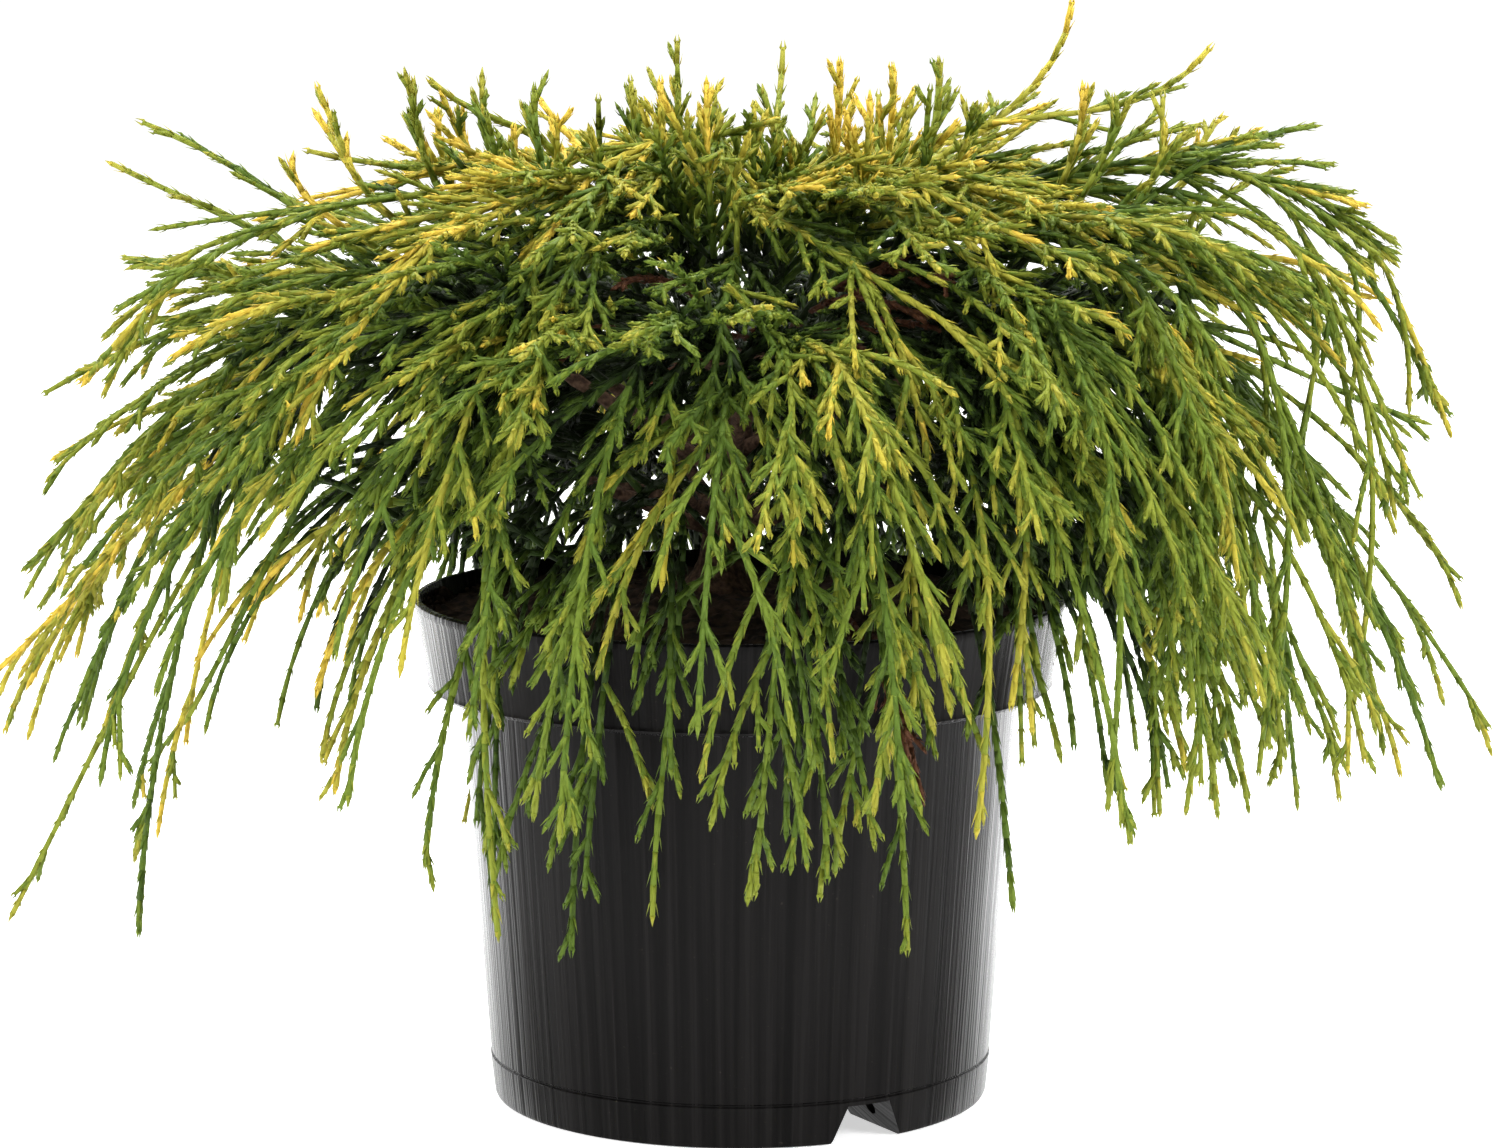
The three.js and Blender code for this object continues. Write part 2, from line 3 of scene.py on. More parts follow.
import bmesh
import bpy
import numpy as np
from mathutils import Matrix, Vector


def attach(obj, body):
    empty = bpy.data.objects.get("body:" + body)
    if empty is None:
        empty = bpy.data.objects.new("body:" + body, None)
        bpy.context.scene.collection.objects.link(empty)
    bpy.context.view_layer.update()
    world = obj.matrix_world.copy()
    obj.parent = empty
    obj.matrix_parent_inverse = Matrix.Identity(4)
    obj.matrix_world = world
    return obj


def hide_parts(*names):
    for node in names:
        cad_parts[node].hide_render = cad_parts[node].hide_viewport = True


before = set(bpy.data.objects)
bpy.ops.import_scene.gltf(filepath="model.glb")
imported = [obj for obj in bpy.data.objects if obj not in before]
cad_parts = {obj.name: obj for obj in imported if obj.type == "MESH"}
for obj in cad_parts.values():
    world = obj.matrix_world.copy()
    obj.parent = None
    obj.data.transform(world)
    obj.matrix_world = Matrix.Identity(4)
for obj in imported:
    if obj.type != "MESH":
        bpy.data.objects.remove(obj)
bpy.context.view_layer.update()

bpy.ops.object.select_all(action="DESELECT")


# Studio: a white sweep under soft light, seen from a little above the rim of the pot. The
# camera stands where a fit to the pot's rim, collar and base puts it.
MM = 0.001
CAMERA_ASIDE = 2.9
CAMERA_DISTANCE = 1400.0
CAMERA_HEIGHT = 357.0
CAMERA_PITCH = 8.28
SENSOR_WIDTH = 36.0
LENS_PER_SENSOR_WIDTH = 3.2333


def set_camera():
    place = (CAMERA_ASIDE * MM, -CAMERA_DISTANCE * MM, CAMERA_HEIGHT * MM)
    tilt = math.pi / 2 - math.radians(CAMERA_PITCH)
    bpy.ops.object.camera_add(location=place, rotation=(tilt, 0, 0))
    camera = bpy.context.object
    camera.name = "camera"
    camera.data.sensor_width = SENSOR_WIDTH
    camera.data.lens = LENS_PER_SENSOR_WIDTH * SENSOR_WIDTH
    camera.data.clip_start = 0.05
    bpy.context.scene.camera = camera


def add_node(nodes, kind, **values):
    """A shader node with its inputs set by name, where _ stands for a space."""
    node = nodes.new("ShaderNode" + kind)
    for name, value in values.items():
        node.inputs[name.replace("_", " ")].default_value = value
    return node


def add_range(nodes, start, end, least, most):
    """A node that spreads the values between start and end over least to most."""
    return add_node(nodes, "MapRange", From_Min=start, From_Max=end, To_Min=least, To_Max=most)


def wire(links, *wires):
    """Links from one node's output to another node's input."""
    for source, output, target, entry in wires:
        links.new(source.outputs[output], target.inputs[entry])


def new_material(name, roughness, specular):
    material = bpy.data.materials.new(name)
    material.use_nodes = True
    shader = material.node_tree.nodes["Principled BSDF"]
    shader.inputs["Roughness"].default_value = roughness
    shader.inputs["Specular IOR Level"].default_value = specular
    return material, material.node_tree.nodes, material.node_tree.links, shader


def add_softbox(name, place, aim, size, watts):
    bpy.ops.object.light_add(type="AREA", location=place)
    light = bpy.context.object
    light.name = name
    light.rotation_euler = (Vector(aim) - Vector(place)).to_track_quat("-Z", "Y").to_euler()
    light.data.shape = "RECTANGLE"
    light.data.size, light.data.size_y = size
    light.data.energy = watts


def light_studio():
    """White all round, dimmer behind the camera, with soft lamps to the sides and above."""
    world = bpy.data.worlds.new("white_studio")
    world.use_nodes = True
    nodes, links = world.node_tree.nodes, world.node_tree.links
    backdrop = nodes["Background"]
    backdrop.inputs["Color"].default_value = (1, 1, 1, 1)
    coordinates = add_node(nodes, "TexCoord")
    split = add_node(nodes, "SeparateXYZ")
    brightness = add_range(nodes, start=-0.6, end=0.3, least=0.2, most=0.75)
    wire(links, (coordinates, "Generated", split, "Vector"), (split, "Y", brightness, "Value"),
         (brightness, "Result", backdrop, "Strength"))
    bpy.context.scene.world = world
    middle = (0, 0, 0.16)
    add_softbox("left_softbox", (-1.2, -0.75, 0.95), middle, size=(0.7, 0.7), watts=19)
    add_softbox("right_softbox", (1.2, -0.75, 0.95), middle, size=(0.7, 0.7), watts=21)
    add_softbox("top_softbox", (0, -0.2, 1.5), middle, size=(0.9, 0.7), watts=20)
    add_softbox("sweep_light", (0, 1.5, 1.5), (0, 0.75, 0), size=(3.2, 1.2), watts=60)
    bpy.context.scene.view_settings.view_transform = "Standard"


def lay_floor():
    bpy.ops.mesh.primitive_plane_add(size=60, location=(0, 0, 0))
    floor = bpy.context.object
    floor.name = "floor"
    paper, _, _, shader = new_material("white_paper", roughness=0.9, specular=0.1)
    shader.inputs["Base Color"].default_value = (0.93, 0.93, 0.93, 1)
    shader.inputs["Emission Color"].default_value = (1, 1, 1, 1)
    shader.inputs["Emission Strength"].default_value = 0.6
    floor.data.materials.append(paper)


set_camera()
light_studio()
lay_floor()


# Pot: blow-moulded black plastic, 190 mm across the rim, with a deep collar, a parting line
# near the floor, and three hollow feet between drain channels. The mould and the drag of the
# hot plastic leave fine upright streaks in its gloss.
POT_HEIGHT = 147.5
RIM_RADIUS = 95.0
COLLAR_HEIGHT = 26.4
COLLAR_FOOT_RADIUS = 91.0
BODY_TOP_RADIUS = 81.5
FOOT_RADIUS = 72.5
WALL = 1.6
RECESS_HEIGHT = 11.6
RECESS_TOP_RADIUS = 42.0
RECESS_FOOT_RADIUS = 45.0
CHANNEL_HEIGHT = 11.0
CHANNEL_FOOT_HALF = 11.5
CHANNEL_TOP_HALF = 6.8
CHANNEL_TURNS = (-60, 60, 180)
DRAIN_RADIUS = 2.6
DRAIN_HEIGHT = 6.2
DRAIN_DISTANCE = 59.0
SEAM_HEIGHT = 12.6
POT_SIDES = 180
LEDGE_HEIGHT = POT_HEIGHT - COLLAR_HEIGHT


def body_radius(height):
    return FOOT_RADIUS + (BODY_TOP_RADIUS - FOOT_RADIUS) * height / LEDGE_HEIGHT


def collar_radius(height):
    share = (height - LEDGE_HEIGHT) / COLLAR_HEIGHT
    return COLLAR_FOOT_RADIUS + (RIM_RADIUS - COLLAR_FOOT_RADIUS) * share


def pick_only(piece):
    bpy.ops.object.select_all(action="DESELECT")
    piece.select_set(True)
    bpy.context.view_layer.objects.active = piece


def settle(piece):
    pick_only(piece)
    bpy.ops.object.transform_apply(location=True, rotation=True, scale=True)


def draw_rings(name, rings):
    """A closed round form drawn up ring by ring from radius and height pairs."""
    radius, height = rings[0]
    bpy.ops.mesh.primitive_circle_add(vertices=POT_SIDES, radius=radius * MM,
                                      location=(0, 0, height * MM), fill_type="NGON")
    form = bpy.context.object
    form.name = name
    settle(form)
    bpy.ops.object.mode_set(mode="EDIT")
    bpy.ops.mesh.select_all(action="SELECT")
    bpy.ops.mesh.duplicate()
    bpy.ops.mesh.delete(type="ONLY_FACE")
    bpy.ops.mesh.select_all(action="DESELECT")
    bpy.ops.mesh.select_mode(type="EDGE")
    bpy.ops.mesh.select_non_manifold(extend=False, use_boundary=False, use_multi_face=False,
                                     use_non_contiguous=False, use_verts=False)
    for next_radius, next_height in rings[1:]:
        lift = (next_height - height) * MM
        bpy.ops.mesh.extrude_region_move(TRANSFORM_OT_translate={"value": (0, 0, lift)})
        grow = next_radius / radius
        bpy.ops.transform.resize(value=(grow, grow, 1), center_override=(0, 0, 0))
        radius, height = next_radius, next_height
    bpy.ops.mesh.edge_face_add()
    bpy.ops.mesh.select_all(action="SELECT")
    bpy.ops.mesh.remove_doubles(threshold=1e-6)
    bpy.ops.mesh.normals_make_consistent(inside=False)
    bpy.ops.object.mode_set(mode="OBJECT")
    return form


def cut_with(piece, cutter):
    pick_only(piece)
    cut = piece.modifiers.new("cut", "BOOLEAN")
    cut.operation = "DIFFERENCE"
    cut.solver = "EXACT"
    cut.object = cutter
    bpy.ops.object.modifier_apply(modifier=cut.name)
    bpy.data.objects.remove(cutter)


def channel_cutter(turn, inset):
    """A wedge that clears one drain channel, wider at its foot."""
    below = 5.0
    slant = (CHANNEL_FOOT_HALF - CHANNEL_TOP_HALF) / CHANNEL_HEIGHT
    top = CHANNEL_HEIGHT + inset
    top_half = CHANNEL_TOP_HALF + inset
    foot_half = top_half + slant * (top + below)
    near, far = 20.0, FOOT_RADIUS + 10.0
    middle = (top - below) / 2 * MM
    bpy.ops.mesh.primitive_cube_add(size=1)
    cutter = bpy.context.object
    cutter.scale = ((far - near) * MM, 2 * foot_half * MM, (top + below) * MM)
    cutter.location = ((near + far) / 2 * MM, 0, middle)
    settle(cutter)
    for vertex in cutter.data.vertices:
        if vertex.co.z > middle:
            vertex.co.y *= top_half / foot_half
    cutter.rotation_euler.z = math.radians(turn)
    settle(cutter)
    return cutter


def drain_cutter(turn):
    """A rod that pierces both side walls of one drain channel."""
    length = 60.0
    bpy.ops.mesh.primitive_cylinder_add(vertices=24, radius=DRAIN_RADIUS * MM,
                                        depth=length * MM, rotation=(math.pi / 2, 0, 0))
    cutter = bpy.context.object
    cutter.location = (DRAIN_DISTANCE * MM, 0, DRAIN_HEIGHT * MM)
    settle(cutter)
    cutter.rotation_euler.z = math.radians(turn)
    settle(cutter)
    return cutter


def mould_pot():
    seam_depth = 0.35
    outside = draw_rings("pot_outside", [
        (RECESS_TOP_RADIUS, RECESS_HEIGHT),
        (RECESS_FOOT_RADIUS, 0.6),
        (RECESS_FOOT_RADIUS + 0.6, 0.0),
        (FOOT_RADIUS - 1.3, 0.0),
        (FOOT_RADIUS - 0.4, 0.35),
        (FOOT_RADIUS + 0.05, 1.3),
        (body_radius(SEAM_HEIGHT - 0.5) + 0.25, SEAM_HEIGHT - 0.5),
        (body_radius(SEAM_HEIGHT) - seam_depth, SEAM_HEIGHT - 0.1),
        (body_radius(SEAM_HEIGHT) - seam_depth, SEAM_HEIGHT + 0.2),
        (body_radius(SEAM_HEIGHT + 0.6), SEAM_HEIGHT + 0.6),
        (body_radius(50), 50.0),
        (body_radius(90), 90.0),
        (body_radius(LEDGE_HEIGHT - 2), LEDGE_HEIGHT - 2.0),
        (BODY_TOP_RADIUS + 0.5, LEDGE_HEIGHT - 0.4),
        (BODY_TOP_RADIUS + 1.6, LEDGE_HEIGHT),
        (COLLAR_FOOT_RADIUS - 1.3, LEDGE_HEIGHT),
        (COLLAR_FOOT_RADIUS - 0.3, LEDGE_HEIGHT + 0.35),
        (COLLAR_FOOT_RADIUS + 0.35, LEDGE_HEIGHT + 1.2),
        (COLLAR_FOOT_RADIUS + 0.1, LEDGE_HEIGHT + 2.4),
        (collar_radius(POT_HEIGHT - 3), POT_HEIGHT - 3.0),
        (RIM_RADIUS, POT_HEIGHT - 2.2),
        (RIM_RADIUS, POT_HEIGHT - 0.6),
        (RIM_RADIUS - 0.5, POT_HEIGHT),
    ])
    inside = draw_rings("pot_inside", [
        (RECESS_TOP_RADIUS + WALL, RECESS_HEIGHT + WALL),
        (RECESS_FOOT_RADIUS + WALL, WALL),
        (FOOT_RADIUS - 1.3 - WALL, WALL),
        (body_radius(3) - WALL, 3.0),
        (BODY_TOP_RADIUS - WALL, LEDGE_HEIGHT + WALL),
        (COLLAR_FOOT_RADIUS - 1.3 - WALL, LEDGE_HEIGHT + WALL),
        (COLLAR_FOOT_RADIUS - WALL, LEDGE_HEIGHT + WALL + 1.3),
        (RIM_RADIUS - WALL - 0.4, POT_HEIGHT - 0.5),
        (RIM_RADIUS - WALL + 0.1, POT_HEIGHT + 0.2),
        (RIM_RADIUS - WALL + 0.1, POT_HEIGHT + 4.0),
    ])
    for turn in CHANNEL_TURNS:
        cut_with(outside, channel_cutter(turn, 0))
        cut_with(inside, channel_cutter(turn, WALL))
    cut_with(outside, inside)
    for turn in CHANNEL_TURNS:
        cut_with(outside, drain_cutter(turn))
    pick_only(outside)
    bpy.ops.object.shade_smooth_by_angle(angle=math.radians(32))
    return outside


def make_mottle_group():
    """Small uneven variation between two colours, as in plastic, peat, bark and leaves."""
    group = bpy.data.node_groups.new("mottle", "ShaderNodeTree")
    for name, way, kind in (("Colour", "INPUT", "Color"), ("Other Colour", "INPUT", "Color"),
                            ("Scale", "INPUT", "Float"), ("Low", "INPUT", "Float"),
                            ("High", "INPUT", "Float"), ("Colour", "OUTPUT", "Color"),
                            ("Height", "OUTPUT", "Float")):
        group.interface.new_socket(name, in_out=way, socket_type="NodeSocket" + kind)
    nodes, links = group.nodes, group.links
    start = nodes.new("NodeGroupInput")
    end = nodes.new("NodeGroupOutput")
    coordinates = add_node(nodes, "TexCoord")
    noise = add_node(nodes, "TexNoise", Detail=5)
    spread = add_node(nodes, "MapRange")
    mix = add_node(nodes, "Mix")
    mix.data_type = "RGBA"
    wire(links, (coordinates, "Object", noise, "Vector"), (start, "Scale", noise, "Scale"),
         (noise, "Fac", spread, "Value"), (start, "Low", spread, "From Min"),
         (start, "High", spread, "From Max"), (spread, "Result", mix, "Factor"),
         (start, "Colour", mix, "A"), (start, "Other Colour", mix, "B"),
         (mix, "Result", end, "Colour"), (noise, "Fac", end, "Height"))
    return group


mottle_group = make_mottle_group()


def add_mottle(nodes, colour, other, scale, low, high):
    mottle = nodes.new("ShaderNodeGroup")
    mottle.node_tree = mottle_group
    for entry, value in (("Colour", (*colour, 1)), ("Other Colour", (*other, 1)),
                         ("Scale", scale), ("Low", low), ("High", high)):
        mottle.inputs[entry].default_value = value
    return mottle


def add_streaks(nodes, links):
    """Noise that changes fast round the pot and slowly up it, so that it runs in streaks."""
    upright_scale = 0.16
    fine_share = 0.8
    coordinates = add_node(nodes, "TexCoord")
    split = add_node(nodes, "SeparateXYZ")
    flat = add_node(nodes, "CombineXYZ")
    around = add_node(nodes, "VectorMath")
    around.operation = "NORMALIZE"
    slow = add_node(nodes, "Math")
    slow.operation = "MULTIPLY"
    slow.inputs[1].default_value = upright_scale
    rise = add_node(nodes, "CombineXYZ")
    place = add_node(nodes, "VectorMath")
    place.operation = "ADD"
    broad = add_node(nodes, "TexNoise", Scale=14, Detail=3)
    fine = add_node(nodes, "TexNoise", Scale=48, Detail=2)
    both = add_node(nodes, "Math")
    both.operation = "MULTIPLY_ADD"
    both.inputs[1].default_value = fine_share
    wire(links, (coordinates, "Object", split, "Vector"), (split, "X", flat, "X"),
         (split, "Y", flat, "Y"), (flat, "Vector", around, 0), (split, "Z", slow, 0),
         (slow, "Value", rise, "Z"), (around, "Vector", place, 0), (rise, "Vector", place, 1),
         (place, "Vector", broad, "Vector"), (place, "Vector", fine, "Vector"),
         (fine, "Fac", both, 0), (broad, "Fac", both, 2))
    return both


def black_plastic():
    """Streaks in the relief, the colour and the gloss, specks of dust, and a sheen seen edge-on."""
    material, nodes, links, shader = new_material("black_plastic", roughness=0.26, specular=0.05)
    streaks = add_streaks(nodes, links)
    bump = add_node(nodes, "Bump", Strength=0.3, Distance=0.0012)
    wire(links, (streaks, "Value", bump, "Height"), (bump, "Normal", shader, "Normal"))
    dust = add_mottle(nodes, colour=(0.0048, 0.0044, 0.0043), other=(0.022, 0.019, 0.016),
                      scale=900, low=0.68, high=0.8)
    depth = add_range(nodes, start=0.75, end=1.1, least=0.7, most=2.0)
    shade = add_node(nodes, "VectorMath")
    shade.operation = "SCALE"
    wire(links, (streaks, "Value", depth, "Value"), (dust, "Colour", shade, 0),
         (depth, "Result", shade, "Scale"), (shade, "Vector", shader, "Base Color"))
    gloss = add_range(nodes, start=0.7, end=1.1, least=0.14, most=0.32)
    sheen = add_node(nodes, "BsdfGlossy", Color=(0.93, 0.94, 0.95, 1))
    wire(links, (streaks, "Value", gloss, "Value"), (gloss, "Result", shader, "Roughness"),
         (gloss, "Result", sheen, "Roughness"), (bump, "Normal", sheen, "Normal"))
    facing = add_node(nodes, "LayerWeight", Blend=0.5)
    edge = add_range(nodes, start=0.5, end=0.92, least=0.0, most=0.2)
    edge.interpolation_type = "SMOOTHSTEP"
    blend = add_node(nodes, "MixShader")
    wire(links, (bump, "Normal", facing, "Normal"), (facing, "Facing", edge, "Value"),
         (edge, "Result", blend, "Fac"), (shader, "BSDF", blend, 1), (sheen, "BSDF", blend, 2),
         (blend, "Shader", nodes["Material Output"], "Surface"))
    return material


def finish_piece(piece, name, material, slot_name, *nodes):
    """Names a piece, gives it its material, attaches it to the root body and hides the CAD nodes it
    stands for.
    """
    piece.name = name
    piece.data.name = name
    piece.data.materials.clear()
    piece.data.materials.append(material)
    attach(piece, "root")
    if nodes:
        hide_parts(*nodes)


finish_piece(mould_pot(), "nursery_pot", black_plastic(), "pot_plastic", "pot")


# Soil: moist dark peat with crumbs and chips of bark, filled to just under the rim and heaped
# a little at the stem. A few crumbs have spilled on to the rim.
SOIL_EDGE_HEIGHT = 142.5
SOIL_TOP_HEIGHT = 150.0
SOIL_RADIUS = 92.2
SOIL_FLOOR_HEIGHT = 129.0
HIGHEST_CRUMB = POT_HEIGHT + 5.5


def soil_height(radius):
    share = np.clip(radius / SOIL_RADIUS, 0, 1)
    rise = SOIL_TOP_HEIGHT - SOIL_EDGE_HEIGHT
    return SOIL_EDGE_HEIGHT + rise * (0.5 + 0.5 * np.cos(math.pi * share))


def displace(piece, name, size, strength):
    """Pushes the surface in and out by soft lumps of one size, all in millimetres."""
    texture = bpy.data.textures.new(name, "CLOUDS")
    texture.noise_scale = size * MM
    texture.noise_depth = 4
    pick_only(piece)
    push = piece.modifiers.new(name, "DISPLACE")
    push.texture = texture
    push.texture_coords = "LOCAL"
    push.strength = strength * MM
    push.mid_level = 0.5
    bpy.ops.object.modifier_apply(modifier=push.name)
    bpy.data.textures.remove(texture)


def fill_soil():
    cells = 150
    extrusion = 14
    bpy.ops.mesh.primitive_grid_add(x_subdivisions=cells, y_subdivisions=cells,
                                    size=2 * (SOIL_RADIUS + 1) * MM)
    soil = bpy.context.object
    shape = bmesh.new()
    shape.from_mesh(soil.data)
    outside = [v for v in shape.verts if v.co.xy.length > SOIL_RADIUS * MM]
    bmesh.ops.delete(shape, geom=outside, context="VERTS")
    for vertex in shape.verts:
        vertex.co.z = float(soil_height(vertex.co.xy.length / MM)) * MM
    shape.to_mesh(soil.data)
    shape.free()
    displace(soil, "heaps", size=14, strength=5.0)
    displace(soil, "crumbs", size=3.5, strength=3.4)
    for vertex in soil.data.vertices:
        vertex.co.z = min(vertex.co.z, HIGHEST_CRUMB * MM)
    bpy.ops.object.mode_set(mode="EDIT")
    bpy.ops.mesh.select_all(action="SELECT")
    bpy.ops.mesh.extrude_region_move(TRANSFORM_OT_translate={"value": (0, 0, -extrusion * MM)})
    bpy.ops.transform.resize(value=(1, 1, 0),
                             center_override=(0, 0, SOIL_FLOOR_HEIGHT * MM))
    bpy.ops.mesh.select_all(action="SELECT")
    bpy.ops.mesh.normals_make_consistent(inside=False)
    bpy.ops.object.mode_set(mode="OBJECT")
    bpy.ops.object.shade_smooth_by_angle(angle=math.radians(50))
    return soil


def mottled_material(name, roughness, specular, colours, grain, relief):
    """Two mottled colours with a bump of the same grain: its scale, low and high end, and the
    bump's strength and depth."""
    material, nodes, links, shader = new_material(name, roughness, specular)
    mottle = add_mottle(nodes, *colours, *grain)
    strength, depth = relief
    bump = add_node(nodes, "Bump", Strength=strength, Distance=depth)
    wire(links, (mottle, "Colour", shader, "Base Color"), (mottle, "Height", bump, "Height"),
         (bump, "Normal", shader, "Normal"))
    return material


peat_material = mottled_material(
    "peat", roughness=0.95, specular=0.12, grain=(260, 0.4, 0.72), relief=(0.7, 0.0009),
    colours=((0.010, 0.0065, 0.0045), (0.055, 0.034, 0.021)))
finish_piece(fill_soil(), "peat_surface", peat_material, "peat", "soil")


def join_all(pieces):
    bpy.ops.object.select_all(action="DESELECT")
    for piece in pieces:
        piece.select_set(True)
    bpy.context.view_layer.objects.active = pieces[0]
    bpy.ops.object.join()
    return bpy.context.object


def scatter_crumbs():
    """Crumbs along the rim, most of them where the peat was tipped in at the left."""
    draws = np.random.RandomState(11)
    crumb_count = 70
    tipped_share, tipped_turn, tipped_scatter = 0.6, 196, 24
    crumbs = []
    for _ in range(crumb_count):
        tipped = draws.rand() < tipped_share
        turn = draws.normal(tipped_turn, tipped_scatter) if tipped else draws.uniform(0, 360)
        turn = math.radians(turn)
        radius = draws.uniform(88.5, 93.2) * MM
        size = draws.uniform(0.5, 1.7) * MM
        bpy.ops.mesh.primitive_ico_sphere_add(subdivisions=1, radius=size)
        crumb = bpy.context.object
        crumb.scale = (draws.uniform(0.7, 1.5), draws.uniform(0.7, 1.3), draws.uniform(0.5, 1))
        crumb.rotation_euler = tuple(draws.uniform(0, 3, 3))
        crumb.location = (radius * math.cos(turn), radius * math.sin(turn),
                          (SOIL_EDGE_HEIGHT + draws.uniform(0.6, 2.6)) * MM)
        settle(crumb)
        crumbs.append(crumb)
    return join_all(crumbs)


finish_piece(scatter_crumbs(), "spilled_crumbs", peat_material, "peat")


# Crown plan: the three tiers, their sectors, and the leading shoots of each mass, by the same
# rule as the solids. A shoot is its turn from the middle of its sector, its reach as a share
# of the crown's edge, the height of its tip, and the slopes at which it leaves and ends.
HALF_WIDTH = 217.0
HALF_DEPTH = 196.0
TOP_SHOOTS = [
    (-18, 0.27, 284, 72, 78), (-10, 0.08, 276, 80, 88), (14, 0.42, 288, 55, 50),
    (-4, 0.58, 276, 42, 14), (20, 0.2, 292, 78, 84), (-22, 0.5, 270, 35, 0),
    (8, 0.64, 258, 30, -10)]
OUTER_SHOOTS = [
    (-3, 1, 118, 42, -66), (14, 0.97, 178, 36, -52), (-15, 0.96, 150, 40, -60),
    (7, 0.86, 252, 30, -4), (-8, 0.92, 214, 30, -30), (16, 0.94, 86, 46, -84),
    (-17, 0.93, 98, 48, -82)]
LEFT_SHOOTS = [
    (0, 1, 125, 34, -42), (8, 0.98, 58, 44, -62), (-6, 0.95, 204, 30, -30),
    (2, 0.79, 285, 33, 22), (-5, 0.85, 272, 28, 24), (14, 0.955, 162, 38, -48),
    (-14, 0.88, 242, 26, 2), (-16, 0.97, 98, 42, -74), (17, 0.83, 58, 52, -88)]
RIGHT_SHOOTS = [
    (3, 1.02, 106, 38, -58), (-9, 0.94, 161, 38, -56), (4, 0.93, 196, 36, -16),
    (-4, 0.86, 234, 34, -34), (13, 0.9, 218, 34, -38), (-15, 0.95, 101, 46, -74),
    (15, 0.94, 92, 46, -80), (2, 0.72, 268, 34, -8)]
FRONT_SHOOTS = [
    (-3, 1, 142, 40, -70), (13, 0.95, 118, 44, -80), (-14, 0.96, 112, 44, -82),
    (5, 0.9, 190, 34, -50), (-8, 0.82, 238, 30, -14), (17, 0.93, 152, 38, -66)]
SKIRT_SHOOTS = [
    (0, 0.6, 66, 38, -86), (-13, 0.72, 92, 36, -84), (12, 0.65, 78, 34, -82),
    (15, 0.7, 120, 26, -74), (-16, 0.57, 98, 34, -86), (-4, 0.68, 142, 22, -58)]
SIDE_SKIRT_SHOOTS = [
    (0, 0.6, 108, 38, -80), (-13, 0.72, 112, 36, -80), (12, 0.65, 104, 34, -80),
    (15, 0.7, 134, 26, -70), (-16, 0.57, 116, 34, -84), (-4, 0.68, 152, 22, -54)]
TOP_RIGHT_EXTRA = [(2, 0.44, 319, 12, 86), (-2, 0.62, 306, 20, 52)]
TOP_LEFT_EXTRA = [(4, 0.41, 297, 40, 42)]
TOP_FRONT_EXTRA = [(-2, 0.13, 307, 74, 82)]
SKIRT_FRONT_EXTRA = [(3, 0.63, 84, 52, -80), (-16, 0.66, 178, 44, -58)]
TIERS = [
    dict(name="top", sectors=6, first_turn=0, fork=200, fork_step=0, tip=(17, 227), rise=58,
         girth=(1.9, 1.6), rows=TOP_SHOOTS, own={},
         extra={0: TOP_RIGHT_EXTRA, 3: TOP_LEFT_EXTRA, 5: TOP_FRONT_EXTRA}),
    dict(name="outer", sectors=8, first_turn=0, fork=182, fork_step=8, tip=(52, 213), rise=34,
         girth=(2.4, 1.9), rows=OUTER_SHOOTS, extra={},
         own={0: RIGHT_SHOOTS, 4: LEFT_SHOOTS, 5: FRONT_SHOOTS, 6: FRONT_SHOOTS,
              7: FRONT_SHOOTS}),
    dict(name="skirt", sectors=8, first_turn=22.5, fork=165, fork_step=6, tip=(47, 183),
         rise=24, girth=(2.2, 1.8), rows=SKIRT_SHOOTS,
         own={0: SIDE_SKIRT_SHOOTS, 3: SIDE_SKIRT_SHOOTS, 4: SIDE_SKIRT_SHOOTS,
              7: SIDE_SKIRT_SHOOTS},
         extra={5: SKIRT_FRONT_EXTRA}),
]
LEADER_START = 8.0
LEADER_SPACING = 7.5
LEADER_SWING = 28.0
LEADER_SWAY = 12.0
LEADER_PULL = 0.38
BOUGH_GAP = 0.3
BOUGH_PULL = 0.5
UP = np.array([0.0, 0.0, 1.0])


def roll(*keys):
    """The same whole numbers always give the same share between 0 and 1."""
    mask = 0xFFFFFFFF
    value = 0x9E3779B9
    for key in keys:
        value = ((value ^ ((key + 0x7F4A7C15) & mask)) * 0x85EBCA6B) & mask
        value ^= value >> 13
        value = (value * 0xC2B2AE35) & mask
        value ^= value >> 16
    return value / 4294967296


def polar(turn, radius, height):
    angle = math.radians(turn)
    return np.array([radius * math.cos(angle), radius * math.sin(angle), height])


def heading(turn, slope):
    level = math.cos(math.radians(slope))
    angle = math.radians(turn)
    return np.array([level * math.cos(angle), level * math.sin(angle),
                     math.sin(math.radians(slope))])


def crown_edge(turn):
    angle = math.radians(turn)
    return 1 / math.hypot(math.cos(angle) / HALF_WIDTH, math.sin(angle) / HALF_DEPTH)


STEM_TOP_HEIGHT = 206.0
STEM_FOOT = np.array([-6.0, -2.0])


def stem_middle(height):
    share = (STEM_TOP_HEIGHT - height) / (STEM_TOP_HEIGHT - SOIL_TOP_HEIGHT)
    return np.array([STEM_FOOT[0] * share, STEM_FOOT[1] * share, height])


def bough_points(tier, index):
    turn = tier["first_turn"] + index * 360 / tier["sectors"]
    fork = stem_middle(tier["fork"] + (index % 2) * tier["fork_step"])
    tip = polar(turn, *tier["tip"])
    bend = tip - heading(turn, tier["rise"]) * BOUGH_PULL * np.linalg.norm(tip - fork)
    return fork, bend, tip


def cubic_at(points, share):
    share = np.asarray(share)[..., None]
    rest = 1 - share
    return (rest ** 3 * points[0] + 3 * rest ** 2 * share * points[1]
            + 3 * rest * share ** 2 * points[2] + share ** 3 * points[3])


